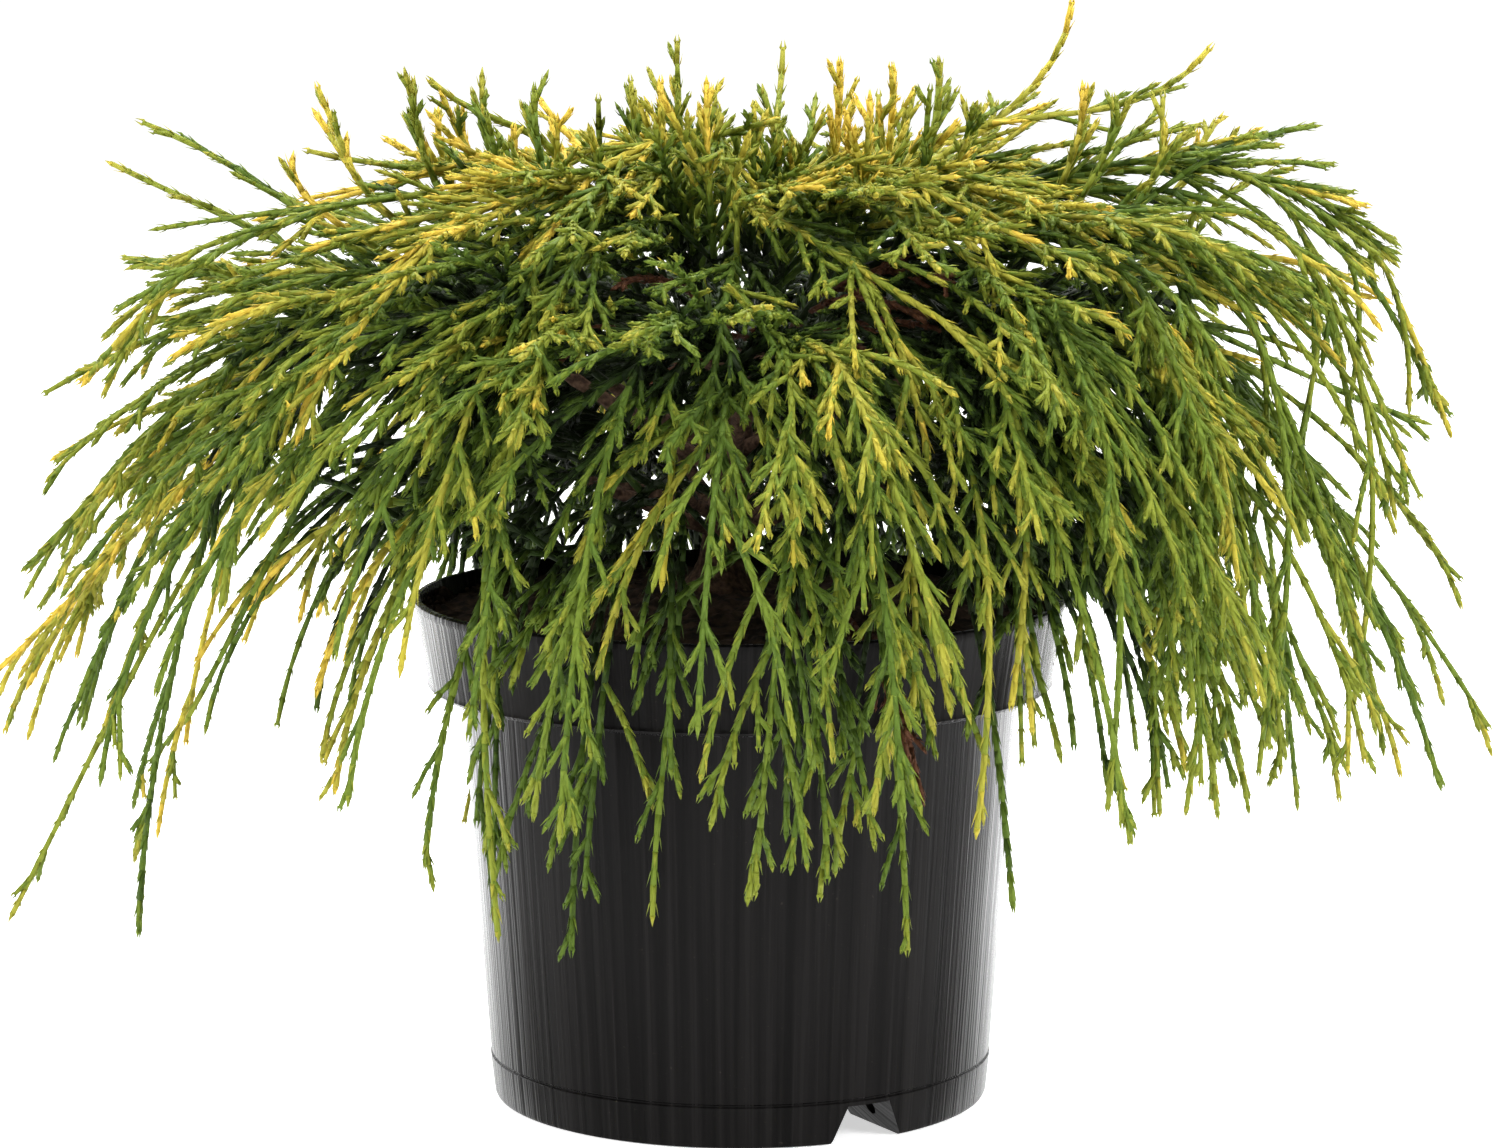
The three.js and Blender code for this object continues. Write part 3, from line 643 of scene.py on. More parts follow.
def cubic_at_length(points, distance):
    shares = np.linspace(0, 1, 201)
    line = cubic_at(points, shares)
    run = np.concatenate([[0], np.cumsum(np.linalg.norm(np.diff(line, axis=0), axis=1))])
    return cubic_at(points, np.interp(distance, run, shares))


def leader_points(mass, row, index):
    turn_off, share, height, rise_slope, end_slope = row
    tier = mass["tier"]
    if index == 0:
        start = mass["tip"] + heading(mass["turn"], tier["rise"]) * BOUGH_GAP
    else:
        start = cubic_at_length(mass["stem"], LEADER_START + index * LEADER_SPACING)
    turn = mass["turn"] + turn_off
    tip = polar(turn, share * crown_edge(turn), height)
    level = math.degrees(math.atan2(tip[1] - start[1], tip[0] - start[0]))
    span = np.linalg.norm(tip - start)
    sway = LEADER_SWAY * (roll(mass["seed"], index, 1) - 0.5)
    if index == 0:
        rise = heading(mass["turn"], tier["rise"])
    else:
        swing = LEADER_SWING * np.sign(turn_off - mass["rows"][0][0])
        rise = heading(level + swing + sway, rise_slope)
    end = heading(level - sway, end_slope)
    return np.array([start, start + rise * LEADER_PULL * span,
                     tip - end * LEADER_PULL * span, tip])


def plan_crown():
    masses = []
    for t, tier in enumerate(TIERS):
        for i in range(tier["sectors"]):
            mass = dict(tier=tier, turn=tier["first_turn"] + i * 360 / tier["sectors"],
                        seed=t * 100 + i + 1, tip=bough_points(tier, i)[2],
                        bough=bough_points(tier, i),
                        rows=[*tier["own"].get(i, tier["rows"]), *tier["extra"].get(i, [])],
                        node=f"foliage_{tier['name']}_{i + 1:02d}",
                        limb=f"bough_{tier['name']}_{i + 1:02d}")
            mass["stem"] = leader_points(mass, mass["rows"][0], 0)
            mass["leaders"] = [leader_points(mass, row, j) for j, row in enumerate(mass["rows"])]
            masses.append(mass)
    return masses


masses = plan_crown()


# Stem and boughs: grey-brown scaly bark over a short leaning stem with a flared foot, and a
# limb for each mass of foliage, drawn as tapering round rods and roughened by displacement.
STEM_FOOT_GIRTH = 7.2
STEM_TOP_GIRTH = 4.4
STEM_FLARE = 3.8
STEM_FLARE_HEIGHT = 9.0
BOUGH_STEPS = 24


def draw_limb(name, points, girths, sides):
    curve = bpy.data.curves.new(name, "CURVE")
    curve.dimensions = "3D"
    curve.bevel_depth = MM
    curve.bevel_resolution = sides
    curve.use_fill_caps = True
    spline = curve.splines.new("POLY")
    spline.points.add(len(points) - 1)
    for point, place, girth in zip(spline.points, points, girths):
        point.co = (*(place * MM), 1)
        point.radius = girth
    limb = bpy.data.objects.new(name, curve)
    bpy.context.collection.objects.link(limb)
    pick_only(limb)
    bpy.ops.object.convert(target="MESH")
    return bpy.context.object


def grow_limbs():
    heights = np.linspace(SOIL_TOP_HEIGHT - 2, STEM_TOP_HEIGHT, 40)
    up = heights - SOIL_TOP_HEIGHT
    share = up / (STEM_TOP_HEIGHT - SOIL_TOP_HEIGHT)
    girths = (STEM_FOOT_GIRTH + (STEM_TOP_GIRTH - STEM_FOOT_GIRTH) * share
              + STEM_FLARE * np.clip(1 - up / STEM_FLARE_HEIGHT, 0, 1) ** 2)
    middles = np.array([stem_middle(height) for height in heights])
    limbs = [draw_limb("stem_rod", middles, girths, 8)]
    shares = np.linspace(0, 1, BOUGH_STEPS)[:, None]
    for mass in masses:
        fork, bend, tip = mass["bough"]
        line = (1 - shares) ** 2 * fork + 2 * (1 - shares) * shares * bend + shares ** 2 * tip
        root, end = mass["tier"]["girth"]
        limbs.append(draw_limb("bough_rod", line, np.linspace(root, end, BOUGH_STEPS), 3))
    wood = join_all(limbs)
    displace(wood, "bark_scales", size=2.2, strength=1.3)
    bpy.ops.object.shade_smooth_by_angle(angle=math.radians(40))
    return wood


bark_material = mottled_material(
    "bark", roughness=0.9, specular=0.15, grain=(520, 0.38, 0.66), relief=(0.8, 0.0008),
    colours=((0.030, 0.016, 0.010), (0.11, 0.066, 0.042)))
finish_piece(grow_limbs(), "barked_limbs", bark_material, "bark", "stem",
             *[mass["limb"] for mass in masses])


# Foliage: each mass grows on from its bough as leading shoots, side shoots, twigs and short
# twiglets. Every shoot is a round green cord clad in pairs of small scale leaves with awl tips,
# each pair turned a quarter against the last. Cords and leaves are dealt out to nine colours,
# from deep green below to yellow-green and gold at the tips, and are darkened inside the crown
# by painted shade.
def cords_at(points, share):
    share = np.asarray(share)[:, None]
    rest = 1 - share
    return (rest ** 3 * points[:, 0] + 3 * rest ** 2 * share * points[:, 1]
            + 3 * rest * share ** 2 * points[:, 2] + share ** 3 * points[:, 3])


def cords_along(points, share):
    share = np.asarray(share)[:, None]
    rest = 1 - share
    return unit(3 * rest ** 2 * (points[:, 1] - points[:, 0])
                + 6 * rest * share * (points[:, 2] - points[:, 1])
                + 3 * share ** 2 * (points[:, 3] - points[:, 2]))


def cord_lengths(points):
    line = np.array([cords_at(points, np.full(len(points), s)) for s in np.linspace(0, 1, 13)])
    return np.linalg.norm(np.diff(line, axis=0), axis=2).sum(axis=0)


def unit(vectors):
    return vectors / np.maximum(np.linalg.norm(vectors, axis=1, keepdims=True), 1e-9)


# How the shoots branch, in millimetres and degrees: distance of the first shoot from the root,
# from shoot to shoot, and of the last from the tip, the angle and its scatter out of the plane,
# the droop as a share of the length, and the length from what is left of the parent.
SIDE_GROWTH = dict(first=14, spacing=15.5, stop=6, angle=25, scatter=20, droop=0.5, least=20,
                   gain=0.5, vary=(0.45, 1.2), span=(14, 105))
TWIG_GROWTH = dict(first=8, spacing=8.6, stop=3, angle=32, scatter=24, droop=0.2, least=5.5,
                   gain=0.17, vary=(0.5, 1.5), span=(4, 22))
TWIGLET_GROWTH = dict(first=4.5, spacing=6, stop=3, angle=32, scatter=24, droop=0.04, least=2.5,
                      gain=0.3, vary=(0.6, 1.3), span=(3, 6))


# How shoots spring from a parent: how much of the parent's own tint they keep, the share of
# golden ones high up or at the left and elsewhere, and what that adds. Then how they hang:
# from below what height, over what depth, and more over the bundle right of the middle. Then
# how much each measure varies, and the shares of its length at which a shoot bends.
COMMON_TINT = 0.36
TINT_KEPT = 0.6
GOLDEN_ABOVE = 222
GOLDEN_LEFT_OF = -115
GOLDEN_SHARES = (0.09, 0.01)
GOLDEN_GAIN = 0.24
HANG_BELOW = 275
HANG_DEPTH = 90
BUNDLE_PLACE = 112
BUNDLE_HALF = 46
BUNDLE_TOP = 272
BUNDLE_HANG = 0.8
NEARLY_UPRIGHT = 0.12
FIRST_VARY = (0.6, 1.4)
SPACING_VARY = (0.7, 1.3)
DROP_VARY = (0.3, 1.2)
ANGLE_SCATTER = 5
TINT_SCATTER = 0.05
LEAST_HANG = 0.05
REACHES = (0.36, 0.66, 0.86)
CURL = 0.13
LATE_CURL = 0.5
LATE_DROP = 0.3


def spring(draws, lengths, growth):
    """The parent of each new shoot, its place as a share of the parent, and its hand."""
    owner, share, hand = [], [], []
    for i, length in enumerate(lengths):
        along = growth["first"] * draws.uniform(*FIRST_VARY)
        side = draws.choice((-1, 1))
        while along < length - growth["stop"]:
            owner.append(i)
            share.append(along / length)
            hand.append(side)
            side = -side
            along += growth["spacing"] * draws.uniform(*SPACING_VARY)
    return np.array(owner), np.array(share), np.array(hand)


def spread_out(draws, root, tangent, hand, growth):
    """The way in which each shoot leaves its parent, to the left or the right of it."""
    across = np.cross(tangent, UP)
    upright = np.linalg.norm(across, axis=1) < NEARLY_UPRIGHT
    around = np.column_stack([-root[:, 1], root[:, 0], np.zeros(len(root))])
    across[upright] = around[upright]
    across = unit(across)
    over = unit(np.cross(across, tangent))
    spread = np.radians(draws.normal(growth["angle"], ANGLE_SCATTER, len(root)))
    twist = np.radians(draws.normal(0, growth["scatter"], len(root)))
    return (tangent * np.cos(spread)[:, None]
            + across * (hand * np.sin(spread) * np.cos(twist))[:, None]
            + over * (np.sin(spread) * np.sin(twist))[:, None])


def curve_down(root, way, tangent, length, drop):
    """A shoot that bends back along its parent and sinks toward its tip."""
    early, late, end = REACHES
    curl = tangent * (CURL * length)[:, None]
    tip = root + way * (end * length)[:, None] + curl
    tip[:, 2] -= drop
    bend = root + way * (early * length)[:, None]
    sag = root + way * (late * length)[:, None] + LATE_CURL * curl
    sag[:, 2] -= LATE_DROP * drop
    return np.stack([root, bend, sag, tip], axis=1)


def branch_off(draws, parents, growth):
    """Shoots that leave their parents by turns to the left and right."""
    lengths = cord_lengths(parents["points"])
    owner, share, hand = spring(draws, lengths, growth)
    count = len(owner)
    root = cords_at(parents["points"][owner], share)
    tangent = cords_along(parents["points"][owner], share)
    way = spread_out(draws, root, tangent, hand, growth)
    left = (1 - share) * lengths[owner]
    length = (growth["least"] + growth["gain"] * left) * draws.uniform(*growth["vary"], count)
    length = np.clip(length, *growth["span"])
    hang = np.clip((HANG_BELOW - root[:, 2]) / HANG_DEPTH, LEAST_HANG, 1)
    in_bundle = np.exp(-((root[:, 0] - BUNDLE_PLACE) / BUNDLE_HALF) ** 2)
    hang += BUNDLE_HANG * in_bundle * (root[:, 2] < BUNDLE_TOP)
    drop = growth["droop"] * hang * draws.uniform(*DROP_VARY, count) * length
    tint = COMMON_TINT + TINT_KEPT * (parents["tint"][owner] - COMMON_TINT)
    sunny = (root[:, 2] > GOLDEN_ABOVE) | (root[:, 0] < GOLDEN_LEFT_OF)
    golden = np.where(sunny, *GOLDEN_SHARES)
    tint += draws.normal(0, TINT_SCATTER, count) + GOLDEN_GAIN * (draws.rand(count) < golden)
    return dict(points=curve_down(root, way, tangent, length, drop), tint=tint,
                rise=parents["rise"][owner])


# Lowest reach of the shoots from left to right, their highest reach from the middle of the
# crown outward, and the windows between them: middle and half size across and upward, how far
# back they clear, and the share of shoots left out. The lowest reach and the windows are as
# seen from the front. Shoots that end outside are cut back, and low ones are thinned.
HANG_LIMIT = [(-217, 110), (-206, 60), (-192, 60), (-184, 102), (-178, 56), (-170, 56),
              (-163, 104), (-150, 114), (-135, 106), (-118, 96),
              (-100, 98), (-90, 92), (-82, 66), (-77, 84), (-71, 44), (-64, 76), (-56, 53),
              (-49, 82), (-42, 76), (-39, 108), (-35, 73), (-28, 98), (-25, 86), (-17, 103),
              (-12, 69), (-4, 78), (4, 56), (10, 98), (13, 66), (17, 50), (28, 64), (37, 74),
              (51, 82), (62, 94), (68, 115), (72, 87), (78, 115), (84, 97), (91, 124),
              (100, 107), (115, 78), (128, 70), (150, 74), (175, 84), (200, 98), (222, 104)]
CROWN_LIMIT = [(0, 269), (0.35, 269), (0.45, 274), (0.6, 273), (0.72, 268), (0.8, 257),
               (0.86, 236), (0.92, 200), (0.96, 160), (1.0, 128), (1.03, 104)]
WINDOWS = [(-112, 196, 7, 8, 200, 0.9), (-125, 166, 11, 11, 200, 0.8),
           (-92, 186, 8, 9, 200, 0.6), (-146, 120, 30, 24, 200, 0.85),
           (-184, 112, 30, 32, 200, 0.35), (-150, 152, 22, 14, 200, 0.35),
           (-108, 130, 12, 28, 200, 0.9), (103, 118, 16, 24, 200, 0.8),
           (166, 138, 9, 24, 200, 0.8), (152, 172, 9, 14, 200, 0.7),
           (186, 150, 10, 16, 200, 0.7), (150, 218, 16, 16, 200, 0.65),
           (176, 196, 18, 20, 200, 0.68), (188, 222, 12, 16, 200, 0.6),
           (120, 236, 12, 12, 200, 0.65),
           (-85, 148, 10, 9, 200, 0.9), (-88, 128, 7, 14, 200, 0.9), (85, 138, 8, 8, 200, 0.8),
           (-38, 119, 6, 17, -20, 0.9), (8, 122, 8, 12, -20, 0.85), (75, 122, 8, 10, -20, 0.8),
           (0, 146, 10, 9, -40, 0.7), (-22, 168, 15, 24, -60, 0.5), (44, 150, 9, 12, -40, 0.6),
           (-58, 168, 9, 14, -50, 0.6), (50, 228, 20, 14, -96, 0.75),
           (-132, 269, 26, 10, 200, 0.65), (-164, 257, 20, 12, 200, 0.65),
           (114, 269, 22, 9, 200, 0.65), (152, 258, 20, 12, 200, 0.6)]
THIN_BELOW = 158.0
THIN_DEPTH = 40.0
THIN_SHARE = 0.42
CUT_BACK = 0.62
MIDWAY = 0.6
STRAY_RISE = 3.0


def seen(places):
    """Where places seem to stand, across and upward, in the plane through the stem."""
    grow = CAMERA_DISTANCE / (CAMERA_DISTANCE + places[:, 1])
    return places[:, 0] * grow, CAMERA_HEIGHT - (CAMERA_HEIGHT - places[:, 2]) * grow


def too_low(places, slack):
    across, height = seen(places)
    limit_places, limits = zip(*HANG_LIMIT)
    return height < np.interp(across, limit_places, limits) - slack


def out_from_middle(places):
    """How far out places lie, as a share of the crown's half width and half depth."""
    return np.hypot(places[:, 0] / HALF_WIDTH, places[:, 1] / HALF_DEPTH)


def too_high(places, slack):
    shares, heights = zip(*CROWN_LIMIT)
    share = out_from_middle(places)
    return (places[:, 2] > np.interp(share, shares, heights) + slack) | (share > shares[-1])


def within_crown(cords, draws, slack, rise):
    """Shoots cut back to the crown's outline and kept out of its windows."""
    points = cords["points"]
    for _ in range(2):
        outside = too_high(points[:, 3], rise) | too_low(points[:, 3], slack)
        root = points[outside, :1]
        points[outside] = root + CUT_BACK * (points[outside] - root)
    tip, middle = points[:, 3], cords_at(points, np.full(len(points), MIDWAY))
    ragged = slack * (0.5 + draws.rand(len(tip)))
    keep = ~too_high(tip, rise + STRAY_RISE) & ~too_low(tip, ragged)
    for across, height, half_across, half_height, behind, share in WINDOWS:
        for place in (tip, middle):
            side, up = seen(place)
            inside = np.hypot((side - across) / half_across, (up - height) / half_height) < 1
            keep &= ~(inside & (place[:, 1] < behind) & (draws.rand(len(tip)) < share))
    low = np.clip((THIN_BELOW - seen(tip)[1]) / THIN_DEPTH, 0, 1)
    keep &= draws.rand(len(tip)) > THIN_SHARE * low
    return pick(cords, keep)


def pick(cords, which):
    return {key: value[which] for key, value in cords.items()}


# Shoots that the front view picks out: long arches by where they start, pass over and end, and
# the tips of short stiff uprights along the top, across and upward. Behind the stem, inner
# shoots fill the back of the crown.
FRONT_ARCHES = [
    ((17, -50, 222), (-2, -112, 214), (-38, -142, 166)),
    ((18, -52, 222), (12, -138, 176), (4, -150, 90)),
    ((20, -52, 221), (42, -112, 196), (46, -138, 138)),
    ((-14, -30, 272), (22, -88, 256), (74, -128, 226)),
    ((-10, -30, 280), (-52, -92, 252), (-98, -118, 190)),
    ((-8, -26, 284), (-46, -74, 268), (-66, -106, 224)),
    ((34, -40, 246), (84, -104, 236), (90, -122, 148)),
    ((30, -42, 242), (70, -116, 224), (72, -136, 138)),
    ((40, -36, 252), (104, -84, 246), (108, -102, 158)),
    ((44, -34, 256), (118, -70, 248), (124, -86, 152)),
    ((50, -32, 258), (130, -58, 252), (142, -72, 178)),
    ((56, -30, 262), (150, -44, 266), (150, -52, 176)),
    ((60, -28, 264), (156, -34, 266), (170, -42, 202)),
    ((62, -24, 264), (160, -24, 266), (190, -30, 206)),
    ((24, -46, 236), (60, -128, 204), (62, -158, 108)),
    ((36, -50, 244), (90, -126, 228), (97, -146, 112)),
    ((42, -44, 250), (114, -102, 236), (120, -120, 106)),
    ((48, -38, 254), (134, -82, 244), (144, -98, 120)),
    ((56, -32, 258), (156, -60, 250), (170, -76, 128)),
    ((-22, -46, 236), (-62, -112, 212), (-65, -120, 72)),
    ((-30, -36, 246), (-104, -88, 236), (-140, -106, 160)),
    ((-40, -20, 262), (-120, -50, 262), (-172, -60, 226)),
    ((18, -30, 262), (58, -92, 256), (92, -116, 206)),
    ((28, -26, 266), (86, -72, 262), (124, -92, 214)),
    ((12, -34, 256), (34, -100, 248), (50, -128, 204)),
    ((-16, -32, 258), (-44, -98, 250), (-62, -126, 196)),
    ((-26, -28, 264), (-80, -76, 260), (-118, -96, 212)),
    ((0, -36, 252), (-4, -100, 240), (-10, -124, 200)),
    ((-14, -30, 278), (-3, -60, 278), (-1, -72, 240)),
    ((-2, -26, 230), (-3, -34, 260), (-6, -32, 290)),
    ((6, -28, 230), (8, -40, 256), (12, -46, 280)),
    ((-10, -28, 230), (-14, -42, 254), (-20, -48, 276)),
]
UPRIGHT_TIPS = [
    (-93, 296), (-73, 299), (-57, 296), (-88, 286), (-30, 294), (-18, 308), (-9, 299), (4, 292),
    (28, 303), (43, 301), (55, 304), (36, 294), (66, 290), (104, 293), (118, 286), (-110, 282),
    (-22, 298), (16, 276), (-24, 278), (133, 278), (-12, 282), (0, 270), (10, 276), (48, 288),
    (-38, 276), (-64, 284), (-80, 288), (72, 282), (96, 296), (-126, 276), (-4, 262),
    (5, 258), (-18, 262)]
INNER_SHOOTS = 22
ARCH_SPRAYS = 5000
UPRIGHT_SPRAYS = 6000
INNER_SPRAYS = 7000
COMPANION_VARY = dict(turn=18, reach=0.4, lift=34, rise=22, end=18, height=14)
COMPANION_REACH = 0.86
COMPANION_LIFT = 26
LIFT_BELOW = 240
LIFT_DEPTH = 100
END_RAISED = 14
MOST_REACH = 0.99
STEEPEST_END = 84
LOWEST_WITH_COMPANION = dict(top=70, outer=70, skirt=100)


def arch(start, over, tip):
    """A cubic curve that passes over a middle point half way."""
    start, over, tip = np.array(start), np.array(over), np.array(tip)
    bend = 2 * over - 0.5 * (start + tip)
    return np.array([start, start + 2 / 3 * (bend - start), tip + 2 / 3 * (bend - tip), tip])


def companion(mass, row, index):
    """A younger leading shoot that fans out beside another."""
    turn, share, height, rise, end = row
    wobble = {what: span * (roll(mass["seed"], index, number) - 0.5)
              for number, (what, span) in enumerate(COMPANION_VARY.items(), 20)}
    low = min(max((LIFT_BELOW - height) / LIFT_DEPTH, 0), 1)
    lift = (COMPANION_LIFT + wobble["lift"]) * low + wobble["height"]
    other = (turn + wobble["turn"],
             min(share * (COMPANION_REACH + wobble["reach"]), MOST_REACH),
             height + lift, rise + wobble["rise"],
             min(end + END_RAISED + wobble["end"], STEEPEST_END))
    return leader_points(mass, other, 1 + index % 6)


def planned_shoots():
    """The leading shoots of the plan, with a companion for each that does not hang too low."""
    points, sprays = [], []
    for number, mass in enumerate(masses):
        lowest = LOWEST_WITH_COMPANION[mass["tier"]["name"]]
        for j, row in enumerate(mass["rows"]):
            spray = number * 100 + j * 4
            points.append(mass["leaders"][j])
            sprays.append(spray)
            if row[2] < lowest:
                continue
            other = companion(mass, row, j)
            if not (too_low(other[3:], 4) | too_high(other[3:], 6))[0]:
                points.append(other)
                sprays.append(spray + 1)
    return points, sprays


def upright_shoot(number, across, height):
    """A short stiff shoot from a foot inside the crown, most of them in its front half."""
    spread, back_share = 110, 0.6
    foot_in, knee_in, foot_back, knee_up = 0.72, 0.94, 0.7, 0.55
    depth = spread * (roll(number, 31) - back_share)
    foot_height = 232 + 14 * roll(number, 32)
    foot = (foot_in * across, foot_back * depth, foot_height)
    knee = (knee_in * across, depth, foot_height + knee_up * (height - foot_height))
    return arch(foot, knee, (across, depth, height))


def inner_shoot(number):
    """A shoot behind the stem, from the forks outward and down."""
    first_turn, turns, start_radius, bend_share = 8, 164, 14, 0.55
    turn = first_turn + turns * (number + roll(number, 41)) / INNER_SHOOTS
    reach = 84 + 40 * roll(number, 42)
    start_height = 198 + 24 * roll(number, 43)
    bend_height = 206 + 30 * roll(number, 44)
    tip_height = 140 + 80 * roll(number, 45)
    return arch(polar(turn, start_radius, start_height),
                polar(turn, bend_share * reach, bend_height), polar(turn, reach, tip_height))


def lead_out():
    """All leading shoots and the numbers of their sprays."""
    points, sprays = planned_shoots()
    for number, places in enumerate(FRONT_ARCHES):
        points.append(arch(*places))
        sprays.append(ARCH_SPRAYS + number)
    for number, tip in enumerate(UPRIGHT_TIPS):
        points.append(upright_shoot(number, *tip))
        sprays.append(UPRIGHT_SPRAYS + number)
    for number in range(INNER_SHOOTS):
        points.append(inner_shoot(number))
        sprays.append(INNER_SPRAYS + number)
    return np.array(points), sprays


# How golden a spray is, 0 deep green to 1 gold, from where it ends and by chance: more at the
# top, on the bundle right of the middle, at the left edge and in the golden places, each by
# where it lies across and upward and how far it reaches.
GOLDEN_PLACES = [(-190, 130, 28), (-122, 146, 28), (-172, 56, 16), (-155, 272, 26),
                 (-74, 275, 24), (-66, 218, 16), (-36, 170, 18), (-10, 292, 14),
                 (34, 296, 16), (172, 238, 24), (-192, 205, 18), (-126, 222, 24),
                 (-98, 278, 16), (-68, 248, 12), (54, 262, 10)]


TINT_FROM = 60
TINT_OVER = 230
RIGHT_PLACE = 95
RIGHT_BEHIND = 40
LEFT_PLACE = -150
SIDE_HALF = 70
LEAST_TINT = 0.2
HIGH_GAIN = 0.23
RIGHT_GAIN = 0.15
CHANCE_GAIN = 0.28
LEFT_CHANCE = 0.62
LEFT_GAINS = (0.34, 0.09)
PLACE_CHANCE = 0.35
PLACE_GAIN = 0.25
TINT_LIMITS = (0.05, 0.8)


def spray_tint(sprays, tips):
    chance = np.array([roll(spray, 77) for spray in sprays])
    high = np.clip((tips[:, 2] - TINT_FROM) / TINT_OVER, 0, 1)
    right = np.exp(-((tips[:, 0] - RIGHT_PLACE) / SIDE_HALF) ** 2) * (tips[:, 1] < RIGHT_BEHIND)
    left = np.exp(-((tips[:, 0] - LEFT_PLACE) / SIDE_HALF) ** 2)
    tint = LEAST_TINT + HIGH_GAIN * high + RIGHT_GAIN * right + CHANCE_GAIN * (chance - 0.5)
    tint = tint + left * np.where(chance > LEFT_CHANCE, *LEFT_GAINS)
    for across, height, reach in GOLDEN_PLACES:
        near = np.hypot(tips[:, 0] - across, tips[:, 2] - height) < reach
        tint = tint + PLACE_GAIN * near * (chance > PLACE_CHANCE)
    return np.clip(tint, *TINT_LIMITS)


LONG_TWIG = 9.0
PLANNED_RISE = 6
STRAY_SHOOT_RISE = 26
LEAD_TWIG_RISE = 18


def grow_foliage():
    """All cords of the crown by kind. Each keeps how far it may rise above the crown's top."""
    draws = np.random.RandomState(5)
    lead_points, sprays = lead_out()
    leads = dict(points=lead_points, tint=spray_tint(sprays, lead_points[:, 3]))
    leads["rise"] = np.where(np.array(sprays) < ARCH_SPRAYS, PLANNED_RISE, STRAY_SHOOT_RISE)
    sides = branch_off(draws, leads, SIDE_GROWTH)
    sides = within_crown(sides, draws, slack=5, rise=sides["rise"])
    lead_twigs = branch_off(draws, leads, TWIG_GROWTH)
    lead_twigs = within_crown(lead_twigs, draws, slack=40,
                              rise=lead_twigs["rise"] + LEAD_TWIG_RISE)
    side_twigs = branch_off(draws, sides, TWIG_GROWTH)
    side_twigs = within_crown(side_twigs, draws, slack=6, rise=side_twigs["rise"])
    long_ones = pick(side_twigs, cord_lengths(side_twigs["points"]) > LONG_TWIG)
    twiglets = branch_off(draws, long_ones, TWIGLET_GROWTH)
    return [(leads, "lead"), (sides, "side"), (lead_twigs, "twig"), (side_twigs, "twig"),
            (twiglets, "twiglet")]


# Sizes of each kind of shoot in millimetres: half its thickness, length of the rods it is laid
# in, step from leaf pair to leaf pair, length of a leaf, half its width, and how far its awl
# tip stands off the cord. Then how many parts at its tip are more golden, and its own gold.
SHOOT_SIZES = {
    "lead": dict(half=1.08, rod=8.5, step=4.0, leaf=4.8, leaf_half=0.8, flare=0.85, tips=3,
                 gold=0.06),
    "side": dict(half=0.94, rod=7.5, step=3.5, leaf=4.2, leaf_half=0.74, flare=0.75, tips=3,
                 gold=0.06),
    "twig": dict(half=0.84, rod=7.5, step=2.9, leaf=3.5, leaf_half=0.66, flare=0.56, tips=2,
                 gold=-0.02),
    "twiglet": dict(half=0.8, rod=6.5, step=2.6, leaf=3.0, leaf_half=0.62, flare=0.5, tips=2,
                    gold=-0.02),
}
TIP_GOLD = 0.1
LEAF_GOLD = 0.03
THICK_AT_ROOT = 1.1
TAPER = 0.3
LAST_LEAF_LENGTH = 0.7
LAST_LEAF_STAND = 0.15
LEAF_FOOT = 0.5
RIDGE_ALONG = 0.25
RIDGE_HEIGHT = 0.22


def cord_frames(points, share):
    """Place, way along and two ways across at a share of each cord."""
    place = cords_at(points, share)
    along = cords_along(points, share)
    level = unit(np.cross(points[:, 3] - points[:, 0], UP) + 1e-6)
    side = unit(level - along * (level * along).sum(axis=1, keepdims=True))
    return place, along, side, np.cross(along, side)


def parts_along(cords, step):
    """Which cord each of its parts belongs to, the part's number there, and how many it has."""
    counts = np.maximum(1, np.round(cord_lengths(cords["points"]) / step).astype(int))
    owner = np.repeat(np.arange(len(counts)), counts)
    order = np.arange(len(owner)) - np.repeat(np.cumsum(counts) - counts, counts)
    return owner, order, counts[owner]


def half_thickness(size, share):
    return size["half"] * (THICK_AT_ROOT - TAPER * share)


def tip_gold(left, size):
    """Gold of a part by its kind of shoot and by how few parts are left to the tip."""
    return TIP_GOLD * (left <= size["tips"]) + size["gold"]


def lay_rods(cords, kind):
    """Short closed rods end to end along every cord, each ring turned against the last."""
    size = SHOOT_SIZES[kind]
    owner, order, count = parts_along(cords, size["rod"])
    corners = []
    for end in (0, 1):
        share = (order + end) / count
        place, _, side, over = cord_frames(cords["points"][owner], share)
        half = half_thickness(size, share)
        for corner in range(4):
            angle = np.radians(90 * corner + 45 * (order + end))
            corners.append(place + side * (half * np.cos(angle))[:, None]
                           + over * (half * np.sin(angle))[:, None])
    vertices = np.stack(corners, axis=1)
    level = cords["tint"][owner] + tip_gold((count - order) * 2, size)
    return dict(vertices=vertices, place=vertices.mean(axis=1), level=level)


ROD_FACES = np.array([
    [0, 1, 4], [1, 5, 4], [1, 2, 5], [2, 6, 5], [2, 3, 6], [3, 7, 6], [3, 0, 7], [0, 4, 7],
    [0, 3, 2], [0, 2, 1], [4, 5, 6], [4, 6, 7]])


